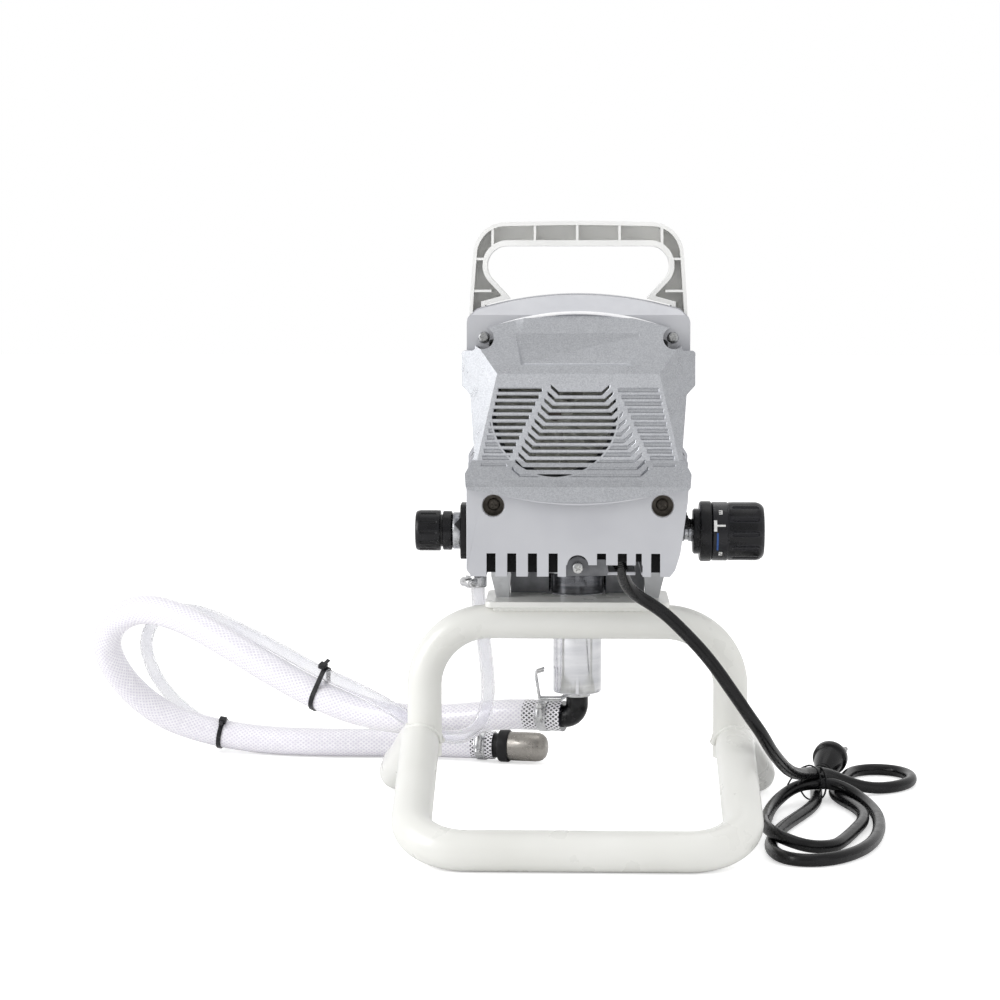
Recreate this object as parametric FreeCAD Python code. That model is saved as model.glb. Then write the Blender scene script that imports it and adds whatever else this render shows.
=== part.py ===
import FreeCAD, Part
import math
import os

# An airless paint sprayer on a tube frame. Millimetres, +Z up, floor at Z = 0.
# -Y is the fan end, +Y the end where the spray hose is fitted, and X = 0 the middle plane.

# Tube frame
base_tube_radius = 16.0
base_tube_wall = 1.8
base_half_width = 130.0
near_bar_y = -169.0
near_corner_radius = 45.0
crest_z = 76.0
crest_bend_radius = 70.0
far_foot_half_width = 160.0
far_bend_y = 132.0
far_end_y = 182.0
plug_head = 3.0
hoop_tube_radius = 14.3
hoop_tube_wall = 1.8
hoop_half_width = 127.0
hoop_top_z = 170.6
hoop_corner_radius = 54.0

# Mount plate and its bolts
plate_half_width = 76.0
plate_y = (-17.0, 64.0)
plate_top_z = 189.0
plate_thickness = 5.0
bolt_radius = 3.0
bolt_head_radius = 5.5
bolt_head_height = 4.0

# Pump and valve casting
pump_y = 56.0
valve_y = 28.0
valve_z = 243.5
manifold_x = (-92.5, 82.0)
manifold_depth = 32.0
manifold_half_height = 13.0
manifold_top_z = 256.5
pump_body_radius = 32.0
pump_body_z = 207.0
foot_outer = (72.0, 67.6)
foot_inner = (55.5, 57.0)
foot_depth = 30.0

# Pump
cylinder_radius = 20.5
cylinder_bore_radius = 14.0
cylinder_bottom_z = 103.0
cylinder_top_z = 225.0
lock_nut_radius = 25.5
lock_nut_height = 16.0
packing_radius = 16.0
packing_z = (228.0, 244.0)
rod_radius = 10.0
running_gap = 0.05
piston_z = (142.0, 158.0)
stroke = 18.0
ball_radius = 6.5
ball_gap = 0.3
seat_bore_radius = 4.5

# Gear train
tooth_module = 1.25
pinion_teeth = 12
wheel_teeth = 48
second_pinion_teeth = 14
crank_teeth = 56
backlash = 0.2
crank_above_casting = 45.5
motor_above_crank = 48.0
motor_x = -18.0
crank_z = manifold_top_z + crank_above_casting
motor_z = crank_z + motor_above_crank
first_stage_y = (-10.0, 1.5)
second_stage_y = (3.5, 15.5)
motor_shaft_radius = 5.0
idler_shaft_radius = 5.0
crank_shaft_radius = 8.5
crank_disc_radius = 22.0
crank_disc_y = (33.0, 41.0)
crank_pin_radius = 6.5
yoke_y = (47.0, 65.0)
yoke_drop = 26.0
open_pivot_gap = 0.5

# Drive housing
case_rear_y = -26.0
case_wall = 4.5
case_floor = 12.0
case_front_y = 20.0
bearing_plate_thickness = 10.0
gear_room = 2.5
flange_top_z = 264.0
bridge_z = (395.0, 407.0)
bridge_half_width = 89.0

# Motor and fan
motor_case_radius = 50.0
motor_case_wall = 2.5
motor_y = (-100.0, -26.0)
rotor_radius = 27.5
air_gap = 0.6
fan_radius = 46.0
fan_y = (-131.0, -117.0)
fan_blades = 9

# Shells
shell_wall = 2.5
shroud_half_width = 87.0
front_half_width = 90.5
waist_half_width = 79.5
shell_top_z = 444.0
shell_split_z = 296.0
shell_bottom_z = 225.0
parting_y = -18.0
shroud_rear_y = -108.0
lower_rear_y = -141.0
front_face_y = 98.0
front_bottom_z = 262.0
comb_top_z = 243.0
comb_width = 7.0
comb_left = (-67.0, -51.0, -35.0, -19.0)
comb_right = (18.3, 34.3, 47.0, 60.0)

# Rear cover
cover_ridge_y = -150.0
cover_ridge_z = 382.0
cover_ridge_half_width = 62.0
cover_top_z = 426.0
cover_top_y = -113.0
cover_foot_z = 315.0
cover_foot_y = -141.5
cover_foot_half_width = 77.6
cover_bottom_z = 280.0
cover_wall = 2.5
upper_screw = (73.5, 408.5)
lower_screw = (65.2, 280.0)
screw_recess_radius = 8.3
grille_pitch = 5.25
grille_slot = 2.8
grille_rows = 12
grille_top_z = 369.3
grille_radius = 48.2
groove_depth = 1.2

# Handle
handle_y = (-10.0, 20.0)
handle_half_width = 89.0
handle_rise = 93.5
handle_grip = 20.0
handle_wall = 3.0
handle_window_half_width = 75.0
handle_window_drop = 56.0
handle_top_z = bridge_z[1] + handle_rise
handle_window_z = handle_top_z - handle_window_drop

# Hoses and cord
suction_radius = 13.2
return_radius = 6.0
cord_radius = 5.2
elbow_radius = 9.4
elbow_z = 80.6
elbow_yaw = 20.0
gland_length = 22.0

# Valve, fittings, screws and switch
drain_x = -84.0
drain_thread_radius = 4.5
valve_stem_radius = 5.0
control_neck_radius = 6.7
outlet_radius = 6.6
outlet_z = 222.0
elbow_thread_radius = 8.0
suction_bore_radius = 9.5
clamp_width = 9.0
seal_height = 3.0
seal_inner_radius = 11.0
screw_radius = 2.1
bracket_screw_z = 231.8
switch_x = 45.0
switch_z = 330.0

# Routes of the hoses and the cord, each point (x, y, z)
suction_route = [
    (-18.8, 62.8, 80.6),
    (-53, 75.3, 80.6),
    (-91, 88.5, 74),
    (-130, 102, 69),
    (-165, 114, 69),
    (-200, 128, 74),
    (-238, 143, 87),
    (-278, 159, 106),
    (-318, 176, 127),
    (-358, 197, 145),
    (-398, 221, 152),
    (-430, 243, 138),
    (-444, 264, 112),
    (-437, 283, 82),
    (-417, 297, 54),
    (-389, 305, 33),
    (-350, 308, 20),
    (-305, 300, 14.2),
    (-258, 289, 14.2),
    (-212, 287, 14.2),
    (-166, 287, 14.2),
    (-124, 282, 15.0),
    (-88, 273, 15.4),
]
strainer_start = (-88, 273, 15.4)
tie_points = ((6, 12), (16, 22))

return_route = [
    (-84, 28, 223.5),
    (-84, 28, 200),
    (-82.5, 29.2, 178),
    (-79, 31, 152),
    (-76, 34, 126),
    (-75, 40, 101),
    (-80, 49, 78),
    (-95, 61, 62),
    (-117, 71, 60),
    (-138, 80, 68),
    (-160, 92, 81),
    (-193, 116, 94),
    (-231, 140, 105.5),
    (-268, 160, 123),
    (-302, 176, 143),
    (-336, 196, 160),
    (-368, 222, 165),
    (-394, 250, 149),
    (-408, 274, 119),
    (-408, 297, 89),
    (-398, 316, 61),
    (-377, 325, 37),
    (-349.4, 327.8, 17.6),
    (-318, 328, 8.6),
    (-288, 325, 6.6),
    (-260, 322, 6.6),
]

cord_route = [
    (33, -112, 233),
    (35, -98, 221.5),
    (40, -84, 210),
    (49, -74, 201),
    (60, -69, 194),
    (70, -68, 185),
    (79, -69, 174),
    (88, -70.5, 163.5),
    (97, -71.5, 152.5),
    (106, -72, 140.5),
    (115, -71.5, 127.5),
    (124, -70, 115),
    (134, -67, 101.5),
    (146, -59, 87),
    (157, -44, 73),
    (166, -20, 59),
    (175, 10, 46),
    (184, 42, 36),
    (192, 68, 30),
    (203, 92, 26.4),
    (217, 108, 23),
    (231, 117, 16),
    (246, 122, 9.5),
    (262, 126, 6),
    (281, 136, 5.4),
    (296, 155, 5.4),
    (300.5, 180, 5.4),
    (294, 203, 5.4),
    (278, 214, 5.4),
    (262, 211, 5.4),
    (251, 198, 5.4),
    (244, 178, 5.4),
    (236.8, 154, 5.4),
    (228, 130, 5.4),
    (224, 108, 5.4),
]

coil_corners = [
    (147.5, -144, 18),
    (166, -158, 16),
    (200, -155, 22),
    (236, -108, 60),
    (258, -8, 120),
    (258, 84, 30),
    (238, 106, 16),
    (196, 106, 14),
    (172, 92, 14),
    (150, 10, 60),
    (147.5, -70, 60),
]
coil_height = 24.0
coil_width = 24.0

tail_route = [
    (209.5, 106.5, 5.4),
    (211, 124, 5.4),
    (212, 142, 5.4),
    (214.5, 157, 5.5),
    (219.1, 172, 6.45),
    (223, 184, 9.5),
]
plug_axis = (0.30, 0.925, 0.235)
plug_grip_length = 26.0
plug_face = 8.0
plug_pin_length = 19.0

V = FreeCAD.Vector
X_AXIS = V(1, 0, 0)
Y_AXIS = V(0, 1, 0)
Z_AXIS = V(0, 0, 1)


def save(name, shape):
    os.makedirs("parts", exist_ok=True)
    shape.exportStep(f"parts/{name}.step")


def box(x, y, z):
    """A block between pairs of limits."""
    return Part.makeBox(x[1] - x[0], y[1] - y[0], z[1] - z[0], V(x[0], y[0], z[0]))


def rod(radius, start, end):
    axis = end - start
    return Part.makeCylinder(radius, axis.Length, start, axis)


def ring(outer, inner, start, end):
    return rod(outer, start, end).cut(rod(inner, start, end))


def along_y(radius, x, z, y):
    return rod(radius, V(x, y[0], z), V(x, y[1], z))


def along_x(radius, y, z, x):
    return rod(radius, V(x[0], y, z), V(x[1], y, z))


def along_z(radius, x, y, z):
    return rod(radius, V(x, y, z[0]), V(x, y, z[1]))


def joined(*shapes):
    return shapes[0].fuse(list(shapes[1:])).removeSplitter()


def hexagon(radius, start, end):
    """A hexagonal bar, radius measured over its corners."""
    axis = end - start
    corners = [V(radius * math.cos(math.pi * k / 3), radius * math.sin(math.pi * k / 3), 0) for k in range(7)]
    bar = Part.Face(Part.makePolygon(corners)).extrude(V(0, 0, axis.Length))
    bar.Placement = FreeCAD.Placement(start, FreeCAD.Rotation(Z_AXIS, axis))
    return bar


def arc_corner(before, corner, after, radius):
    """The two ends and the middle of the arc that rounds one corner."""
    back = (before - corner).normalize()
    ahead = (after - corner).normalize()
    half = back.getAngle(ahead) / 2
    reach = radius / math.tan(half)
    middle = corner + (back + ahead).normalize() * (radius / math.sin(half) - radius)
    return corner + back * reach, middle, corner + ahead * reach


def rounded_loop(corners, y):
    """A closed outline in a plane of constant Y. Each corner is (x, z, radius)."""
    points = [V(x, y, z) for x, z, radius in corners]
    arcs = []
    for k, (x, z, radius) in enumerate(corners):
        if radius > 0:
            arcs.append(arc_corner(points[k - 1], points[k], points[(k + 1) % len(points)], radius))
        else:
            arcs.append((points[k], None, points[k]))
    edges = []
    for k, (start, middle, end) in enumerate(arcs):
        if middle is not None:
            edges.append(Part.Arc(start, middle, end).toShape())
        following = arcs[(k + 1) % len(arcs)][0]
        if (following - end).Length > 1e-4:
            edges.append(Part.LineSegment(end, following).toShape())
    return Part.Wire(edges)


def prism(corners, y, inset=0.0):
    """An outline in XZ extruded along Y, drawn in by an inset."""
    face = Part.Face(rounded_loop(corners, y[0]))
    if inset:
        face = face.makeOffset2D(-inset)
    return face.extrude(V(0, y[1] - y[0], 0))


def mirrored(right, left_side=None):
    """A closed outline from its right half, top to bottom, with its own left half if it differs."""
    left = left_side if left_side else [(-x, z, radius) for x, z, radius in right]
    return list(right) + [corner for corner in reversed(left) if corner[0] != 0]


def beyond(point, normal):
    """All the space on the side of a plane that its normal points to."""
    size = 1200.0
    block = Part.makeBox(size, size, size, V(-size / 2, -size / 2, 0))
    block.Placement = FreeCAD.Placement(point, FreeCAD.Rotation(Z_AXIS, normal))
    return block


def bent_path(points, radii):
    """Straight runs joined by tangent arcs, open at both ends."""
    edges = []
    last = points[0]
    for k in range(1, len(points) - 1):
        start, middle, end = arc_corner(points[k - 1], points[k], points[k + 1], radii[k - 1])
        if (start - last).Length > 1e-4:
            edges.append(Part.LineSegment(last, start).toShape())
        edges.append(Part.Arc(start, middle, end).toShape())
        last = end
    edges.append(Part.LineSegment(last, points[-1]).toShape())
    return Part.Wire(edges)


def swept(path, radius, inner=0.0):
    """A round bar or tube that follows a path."""
    start = path.OrderedVertexes[0].Point
    tangent = path.OrderedEdges[0].tangentAt(path.OrderedEdges[0].FirstParameter)
    face = Part.Face(Part.Wire(Part.makeCircle(radius, start, tangent)))
    if inner:
        face = face.cut(Part.Face(Part.Wire(Part.makeCircle(inner, start, tangent)))).Faces[0]
    return path.makePipe(face)


def cord_path(points):
    """The route of a loose hose or cord: each arc as large as its two runs allow."""
    points = [V(*point) for point in points]
    radii = []
    for k in range(1, len(points) - 1):
        back = points[k - 1] - points[k]
        ahead = points[k + 1] - points[k]
        half_turn = (math.pi - back.getAngle(ahead)) / 2
        radii.append(0.45 * min(back.Length, ahead.Length) / math.tan(half_turn))
    return bent_path(points, radii), radii


def gear(teeth, module, bore_radius, x, z, y, phase):
    """A spur gear with involute flanks, turned so that a tooth points at the phase angle."""
    pitch = module * teeth / 2
    base = pitch * math.cos(math.radians(20))
    tip = pitch + module
    root = pitch - 1.25 * module
    half_tooth = (math.pi * module / 2 - backlash) / (2 * pitch)

    def involute(radius):
        roll = math.acos(min(1.0, base / radius))
        return math.tan(roll) - roll

    start = max(base, root + 0.05)
    radii = [start + (tip - start) * k / 3 for k in range(4)]
    corners = []
    for tooth in range(teeth):
        centre = phase + 2 * math.pi * tooth / teeth
        offsets = [half_tooth + involute(pitch) - involute(radius) for radius in radii]
        flank = [(root, -offsets[0] - 0.01)] + [(radius, -offset) for radius, offset in zip(radii, offsets)]
        flank += [(radius, -angle) for radius, angle in reversed(flank)]
        corners += [
            V(x + radius * math.cos(centre + angle), y[0], z + radius * math.sin(centre + angle))
            for radius, angle in flank
        ]
    corners.append(corners[0])
    blank = Part.Face(Part.makePolygon(corners)).extrude(V(0, y[1] - y[0], 0))
    return blank.cut(along_y(bore_radius, x, z, y))


def idler_place():
    """The intermediate shaft's X and Z, where it meshes with both of its neighbours."""
    first = tooth_module * (pinion_teeth + wheel_teeth) / 2
    second = tooth_module * (second_pinion_teeth + crank_teeth) / 2
    across = V(-motor_x, 0, crank_z - motor_z)
    span = across.Length
    reach = (first**2 - second**2 + span**2) / (2 * span)
    rise = math.sqrt(first**2 - reach**2)
    unit = across.normalize()
    side = V(-unit.z, 0, unit.x)
    place = V(motor_x, 0, motor_z) + unit * reach + side * rise
    return place.x, place.z


idler_x, idler_z = idler_place()
pin_z = crank_z - stroke / 2
plate_bottom_z = plate_top_z - plate_thickness


# Frame

def base_tube_path():
    near = [V(side * base_half_width, near_bar_y, base_tube_radius) for side in (-1, 1)]
    crest = [V(side * base_half_width, 0, crest_z) for side in (-1, 1)]
    bend = [V(side * far_foot_half_width, far_bend_y, base_tube_radius) for side in (-1, 1)]
    end = [V(side * far_foot_half_width, far_end_y, base_tube_radius) for side in (-1, 1)]
    points = [end[0], bend[0], crest[0], near[0], near[1], crest[1], bend[1], end[1]]
    radii = [crest_bend_radius, crest_bend_radius, near_corner_radius]
    return bent_path(points, radii + radii[::-1])


def make_base_tube():
    save("base_tube", swept(base_tube_path(), base_tube_radius, base_tube_radius - base_tube_wall))


def make_hoop_tube():
    points = [
        V(-hoop_half_width, 0, crest_z - base_tube_radius),
        V(-hoop_half_width, 0, hoop_top_z),
        V(hoop_half_width, 0, hoop_top_z),
        V(hoop_half_width, 0, crest_z - base_tube_radius),
    ]
    path = bent_path(points, [hoop_corner_radius] * 2)
    hoop = swept(path, hoop_tube_radius, hoop_tube_radius - hoop_tube_wall)
    coped = hoop.cut(swept(base_tube_path(), base_tube_radius))
    save("hoop_tube", max(coped.Solids, key=lambda solid: solid.Volume))


def make_tube_end_plugs():
    plugs = []
    for side in (-1, 1):
        x = side * far_foot_half_width
        head = along_y(base_tube_radius, x, base_tube_radius, (far_end_y, far_end_y + plug_head))
        head = head.makeFillet(1.5, [head.Edges[0]])
        stem = along_y(base_tube_radius - base_tube_wall, x, base_tube_radius, (far_end_y - 12, far_end_y))
        plugs.append(joined(head, stem))
    save("tube_end_plugs", Part.makeCompound(plugs))


def bolt_places():
    middle = (foot_outer[1] + foot_inner[1]) / 2
    return [(side * middle, y) for side in (-1, 1) for y in (valve_y - 8, valve_y + 8)]


def make_mount_plate():
    plate = box((-plate_half_width, plate_half_width), plate_y, (plate_bottom_z, plate_top_z))
    corners = [edge for edge in plate.Edges if abs(edge.tangentAt(edge.FirstParameter).z) > 0.9]
    plate = plate.makeFillet(6.0, corners)
    notch_radius = lock_nut_radius + 2.5
    plate = plate.cut(along_z(notch_radius, 0, pump_y, (plate_bottom_z, plate_top_z)))
    mouth = box((-notch_radius, notch_radius), (pump_y, plate_y[1] + 1), (plate_bottom_z, plate_top_z))
    plate = plate.cut(mouth)
    for x, y in bolt_places():
        plate = plate.cut(along_z(bolt_radius + 0.2, x, y, (plate_bottom_z, plate_top_z)))
    bar = along_x(hoop_tube_radius, 0, hoop_top_z, (-plate_half_width, plate_half_width))
    save("mount_plate", plate.cut(bar))


def make_plate_bolts():
    bolts = []
    for x, y in bolt_places():
        head = hexagon(bolt_head_radius, V(x, y, plate_bottom_z - bolt_head_height), V(x, y, plate_bottom_z))
        bolts.append(joined(head, along_z(bolt_radius, x, y, (plate_bottom_z, plate_top_z + 12))))
    save("plate_bolts", Part.makeCompound(bolts))


# Pump and valve casting

def make_manifold():
    bar_y = (valve_y - manifold_depth / 2, valve_y + manifold_depth / 2)
    bar = box(manifold_x, bar_y, (valve_z - manifold_half_height, manifold_top_z))
    body = along_z(pump_body_radius, 0, pump_y, (pump_body_z, manifold_top_z))
    saddle = box((-pump_body_radius, pump_body_radius), (bar_y[0] + 6, pump_y),
                 (pump_body_z + 6, manifold_top_z))
    feet = []
    foot_y = (valve_y - foot_depth / 2, valve_y + foot_depth / 2)
    top_z = valve_z - manifold_half_height + 2
    for side in (-1, 1):
        corners = [
            (side * foot_outer[0], top_z, 0),
            (side * foot_outer[0], pump_body_z, 0),
            (side * foot_outer[1], plate_top_z, 0),
            (side * foot_inner[1], plate_top_z, 0),
            (side * foot_inner[0], pump_body_z, 0),
            (side * foot_inner[0], top_z, 0),
        ]
        feet.append(prism(corners, foot_y))
    casting = joined(bar, body, saddle, *feet)
    casting = casting.cut(along_z(cylinder_radius, 0, pump_y, (pump_body_z, cylinder_top_z)))
    casting = casting.cut(along_z(packing_radius, 0, pump_y, (cylinder_top_z, manifold_top_z)))
    for x, y in bolt_places():
        casting = casting.cut(along_z(bolt_radius, x, y, (plate_top_z, plate_top_z + 12)))
    casting = casting.cut(along_x(valve_stem_radius + running_gap, valve_y, valve_z,
                                  (manifold_x[0], manifold_x[0] + 22)))
    casting = casting.cut(along_x(control_neck_radius, valve_y, valve_z, (manifold_x[1] - 14, manifold_x[1])))
    drain = along_z(drain_thread_radius, drain_x, valve_y, (valve_z - manifold_half_height, valve_z - 7))
    casting = casting.cut(drain)
    front = pump_y + pump_body_radius
    casting = casting.cut(along_y(outlet_radius, 0, outlet_z, (front - 11, front)))
    save("manifold", casting)


def make_pump():
    bottom = V(0, pump_y, cylinder_bottom_z)
    cylinder = rod(cylinder_radius, bottom, V(0, pump_y, cylinder_top_z))
    lower_edges = [edge for edge in cylinder.Edges if edge.BoundBox.ZMax < cylinder_bottom_z + 1]
    cylinder = cylinder.makeChamfer(1.5, lower_edges)
    seat_z = cylinder_bottom_z + 10
    cylinder = cylinder.cut(along_z(cylinder_bore_radius, 0, pump_y, (seat_z, cylinder_top_z)))
    cylinder = cylinder.cut(along_z(elbow_thread_radius, 0, pump_y, (cylinder_bottom_z, seat_z)))
    save("pump_cylinder", cylinder)
    nut = ring(lock_nut_radius, cylinder_radius, V(0, pump_y, pump_body_z - lock_nut_height),
               V(0, pump_y, pump_body_z))
    for k in range(6):
        angle = math.radians(60 * k + 30)
        spot = V(lock_nut_radius * math.cos(angle), pump_y + lock_nut_radius * math.sin(angle), 0)
        nut = nut.cut(along_z(2.5, spot.x, spot.y, (pump_body_z - lock_nut_height, pump_body_z)))
    save("pump_lock_nut", nut)
    seat_top = seat_z + 8
    seat = ring(cylinder_bore_radius, seat_bore_radius, V(0, pump_y, seat_z), V(0, pump_y, seat_top))
    ball_z = seat_top + math.sqrt(ball_radius**2 - seat_bore_radius**2) + ball_gap
    save("inlet_seat", seat)
    save("inlet_ball", Part.makeSphere(ball_radius, V(0, pump_y, ball_z)))


def make_piston():
    yoke_bottom = pin_z - yoke_drop
    chamber = ball_radius + 0.4
    head = along_z(cylinder_bore_radius - running_gap, 0, pump_y, piston_z)
    shaft = along_z(rod_radius, 0, pump_y, (piston_z[1], yoke_bottom))
    piston = joined(head, shaft)
    piston = piston.cut(along_z(seat_bore_radius, 0, pump_y, (piston_z[0], piston_z[0] + 8)))
    piston = piston.cut(along_z(chamber, 0, pump_y, (piston_z[0] + 8, piston_z[1] + 10)))
    cross = along_x(3.0, pump_y, piston_z[1] + 5, (-rod_radius, rod_radius))
    piston = piston.cut(cross)
    for z in (piston_z[0] + 4, piston_z[0] + 10):
        outer = cylinder_bore_radius
        piston = piston.cut(ring(outer, seal_inner_radius, V(0, pump_y, z), V(0, pump_y, z + seal_height)))
    save("piston_rod", piston)
    seals = []
    for z in (piston_z[0] + 4, piston_z[0] + 10):
        outer = cylinder_bore_radius - running_gap
        seals.append(ring(outer, seal_inner_radius, V(0, pump_y, z), V(0, pump_y, z + seal_height)))
    save("piston_seals", Part.makeCompound(seals))
    ball_z = piston_z[0] + 8 + math.sqrt(ball_radius**2 - seat_bore_radius**2) + ball_gap
    save("outlet_ball", Part.makeSphere(ball_radius, V(0, pump_y, ball_z)))
    packing = ring(packing_radius, rod_radius + running_gap, V(0, pump_y, packing_z[0]),
                   V(0, pump_y, packing_z[1]))
    save("rod_packing", packing)
    nut_top = manifold_top_z + 9
    nut = along_z(packing_radius, 0, pump_y, (packing_z[1], manifold_top_z))
    nut = joined(nut, hexagon(21.0, V(0, pump_y, manifold_top_z), V(0, pump_y, nut_top)))
    nut = nut.cut(along_z(rod_radius + 0.6, 0, pump_y, (packing_z[1], nut_top)))
    save("packing_nut", nut)


def make_drive_yoke():
    slot_half = stroke / 2 + crank_pin_radius + 1.0
    slot_height = crank_pin_radius + 0.8
    half_width = 24.0
    low, high = pin_z - slot_height - 7, pin_z + slot_height + 7
    yoke = box((-half_width, half_width), yoke_y, (low, high))
    ends = [edge for edge in yoke.Edges if abs(edge.tangentAt(edge.FirstParameter).y) > 0.9]
    yoke = yoke.makeFillet(5.0, ends)
    slot = box((-slot_half + slot_height, slot_half - slot_height), yoke_y,
               (pin_z - slot_height, pin_z + slot_height))
    for side in (-1, 1):
        slot = slot.fuse(along_y(slot_height, side * (slot_half - slot_height), pin_z, yoke_y))
    boss = along_z(13.0, 0, pump_y, (pin_z - yoke_drop, low + 2))
    boss = boss.common(box((-13, 13), yoke_y, (pin_z - yoke_drop, low + 2)))
    save("drive_yoke", joined(yoke, boss).cut(slot))


# Gear train

def make_gears():
    toward_idler = math.atan2(idler_z - motor_z, idler_x - motor_x)
    toward_crank = math.atan2(crank_z - idler_z, -idler_x)
    wheel_phase = toward_idler + math.pi + math.pi / wheel_teeth
    wheel = gear(wheel_teeth, tooth_module, idler_shaft_radius, idler_x, idler_z, first_stage_y, wheel_phase)
    for k in range(5):
        angle = wheel_phase + 2 * math.pi * k / 5
        hole_x = idler_x + 19 * math.cos(angle)
        hole_z = idler_z + 19 * math.sin(angle)
        wheel = wheel.cut(along_y(5.0, hole_x, hole_z, first_stage_y))
    second_y = (first_stage_y[1], second_stage_y[1])
    second = gear(second_pinion_teeth, tooth_module, idler_shaft_radius, idler_x, idler_z, second_y,
                  toward_crank)
    save("intermediate_gear", joined(wheel, second))
    shaft_y = (case_rear_y + 4, case_front_y + bearing_plate_thickness - 3)
    save("intermediate_shaft", along_y(idler_shaft_radius - running_gap, idler_x, idler_z, shaft_y))
    crank_phase = toward_crank + math.pi + math.pi / crank_teeth
    wheel = gear(crank_teeth, tooth_module, crank_shaft_radius, 0, crank_z, second_stage_y, crank_phase)
    for k in range(6):
        angle = crank_phase + math.pi * k / 3
        wheel = wheel.cut(along_y(6.0, 21 * math.cos(angle), crank_z + 21 * math.sin(angle), second_stage_y))
    save("crank_gear", wheel)


def make_crankshaft():
    shaft = along_y(crank_shaft_radius, 0, crank_z, (case_rear_y + 3, crank_disc_y[0]))
    disc = along_y(crank_disc_radius, 0, crank_z, crank_disc_y)
    disc = disc.makeChamfer(1.0, disc.Edges[0:1] + disc.Edges[2:3])
    pin = along_y(crank_pin_radius, 0, pin_z, (crank_disc_y[1], yoke_y[0] - open_pivot_gap))
    save("crankshaft", joined(shaft, disc, pin))


def bearing(outer, inner, x, z, y):
    """A ball bearing as its two races and the sealed space between, with a groove in each face."""
    body = along_y(outer, x, z, y).cut(along_y(inner, x, z, y))
    middle = (outer + inner) / 2
    for face_y in ((y[0], y[0] + 0.8), (y[1] - 0.8, y[1])):
        groove = along_y(middle + 2, x, z, face_y).cut(along_y(middle - 2, x, z, face_y))
        body = body.cut(groove)
    return body


def make_bearings():
    crank_rear = bearing(17.5, crank_shaft_radius + running_gap, 0, crank_z,
                         (case_rear_y + 3, case_rear_y + 12))
    front_y = (case_front_y + 1, case_front_y + bearing_plate_thickness)
    crank_front = bearing(17.5, crank_shaft_radius + running_gap, 0, crank_z, front_y)
    save("crank_bearings", Part.makeCompound([crank_rear, crank_front]))
    front = bearing(14.0, motor_shaft_radius + running_gap, motor_x, motor_z,
                    (case_rear_y + 1, case_rear_y + 9))
    rear = bearing(13.0, motor_shaft_radius + running_gap, motor_x, motor_z, (motor_y[0] - 8, motor_y[0]))
    save("motor_bearings", Part.makeCompound([front, rear]))


def case_circles():
    """The gear case's three lobes: motor pinion, intermediate wheel and crank gear."""
    return [
        (motor_x, motor_z, tooth_module * (pinion_teeth / 2 + 1) + gear_room + 3),
        (idler_x, idler_z, tooth_module * (wheel_teeth / 2 + 1) + gear_room),
        (0, crank_z, tooth_module * (crank_teeth / 2 + 1) + gear_room),
    ]


def lobes(extra, y):
    shapes = [along_y(radius + extra, x, z, y) for x, z, radius in case_circles()]
    return joined(*shapes)


def case_bolt_places():
    reach = case_circles()[2][2] + case_wall
    wheel = case_circles()[1][2] + case_wall
    low_angles = (math.radians(200), math.radians(330))
    low = [(reach * math.cos(a), crank_z + reach * math.sin(a)) for a in low_angles]
    high_angles = (math.radians(20), math.radians(100))
    high = [(idler_x + wheel * math.cos(a), idler_z + wheel * math.sin(a)) for a in high_angles]
    left = [(motor_x - 22, motor_z - 8)]
    return low + high + left


def make_drive_housing():
    y = (case_rear_y, case_front_y)
    shell = lobes(case_wall, y)
    flange = along_y(motor_case_radius + 2, motor_x, motor_z, (case_rear_y, case_rear_y + 6))
    bosses = [along_y(6.5, x, z, y) for x, z in case_bolt_places()]
    base = box((-46, 46), (case_rear_y, pump_y + 16), (manifold_top_z, flange_top_z))
    pillar = box((-30, 30), (case_rear_y, case_front_y), (manifold_top_z, crank_z))
    web = box((-12, 30), (case_rear_y + 4, case_front_y - 6), (crank_z + 60, bridge_z[1]))
    bridge_depth = (handle_y[0] + 2, handle_y[1] - 2)
    bridge = box((-bridge_half_width, bridge_half_width), bridge_depth, bridge_z)
    braces = []
    for side in (-1, 1):
        corners = [(side * 10, bridge_z[0] - 26, 0), (side * 10, bridge_z[0], 0), (side * 74, bridge_z[0], 0)]
        braces.append(prism(corners, (handle_y[0] + 10, handle_y[0] + 16)))
    cheeks = []
    for side in (-1, 1):
        inner, outer = sorted((side * 24.4, side * 31.0))
        cheeks.append(box((inner, outer), (case_front_y + bearing_plate_thickness + 1, pump_y + 16),
                          (manifold_top_z, 335)))
    housing = joined(shell, flange, base, pillar, web, bridge, *bosses, *braces, *cheeks)
    housing = housing.cut(lobes(0, (case_rear_y + case_floor, case_front_y)))
    housing = housing.cut(along_y(14.0, motor_x, motor_z, (case_rear_y, case_rear_y + 9)))
    housing = housing.cut(along_y(motor_shaft_radius + 1.5, motor_x, motor_z, (case_rear_y, case_front_y)))
    housing = housing.cut(along_y(17.5, 0, crank_z, (case_rear_y + 3, case_front_y)))
    housing = housing.cut(along_y(idler_shaft_radius - running_gap, idler_x, idler_z,
                                  (case_rear_y + 4, case_front_y)))
    housing = housing.cut(along_z(24.0, 0, pump_y, (manifold_top_z, flange_top_z)))
    for x, z in case_bolt_places():
        housing = housing.cut(along_y(2.0, x, z, (case_front_y - 14, case_front_y)))
    for x, y in flange_bolt_places():
        housing = housing.cut(along_z(bolt_radius, x, y, (manifold_top_z, flange_top_z)))
    for x, y in handle_screw_places():
        housing = housing.cut(along_z(bolt_radius, x, y, bridge_z))
    save("drive_housing", housing)


def flange_bolt_places():
    return [(side * 39, y) for side in (-1, 1) for y in (valve_y - 8, valve_y + 8)]


def handle_screw_places():
    return [(side * 81.5, y) for side in (-1, 1) for y in (handle_y[0] + 8, handle_y[1] - 8)]


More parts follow.
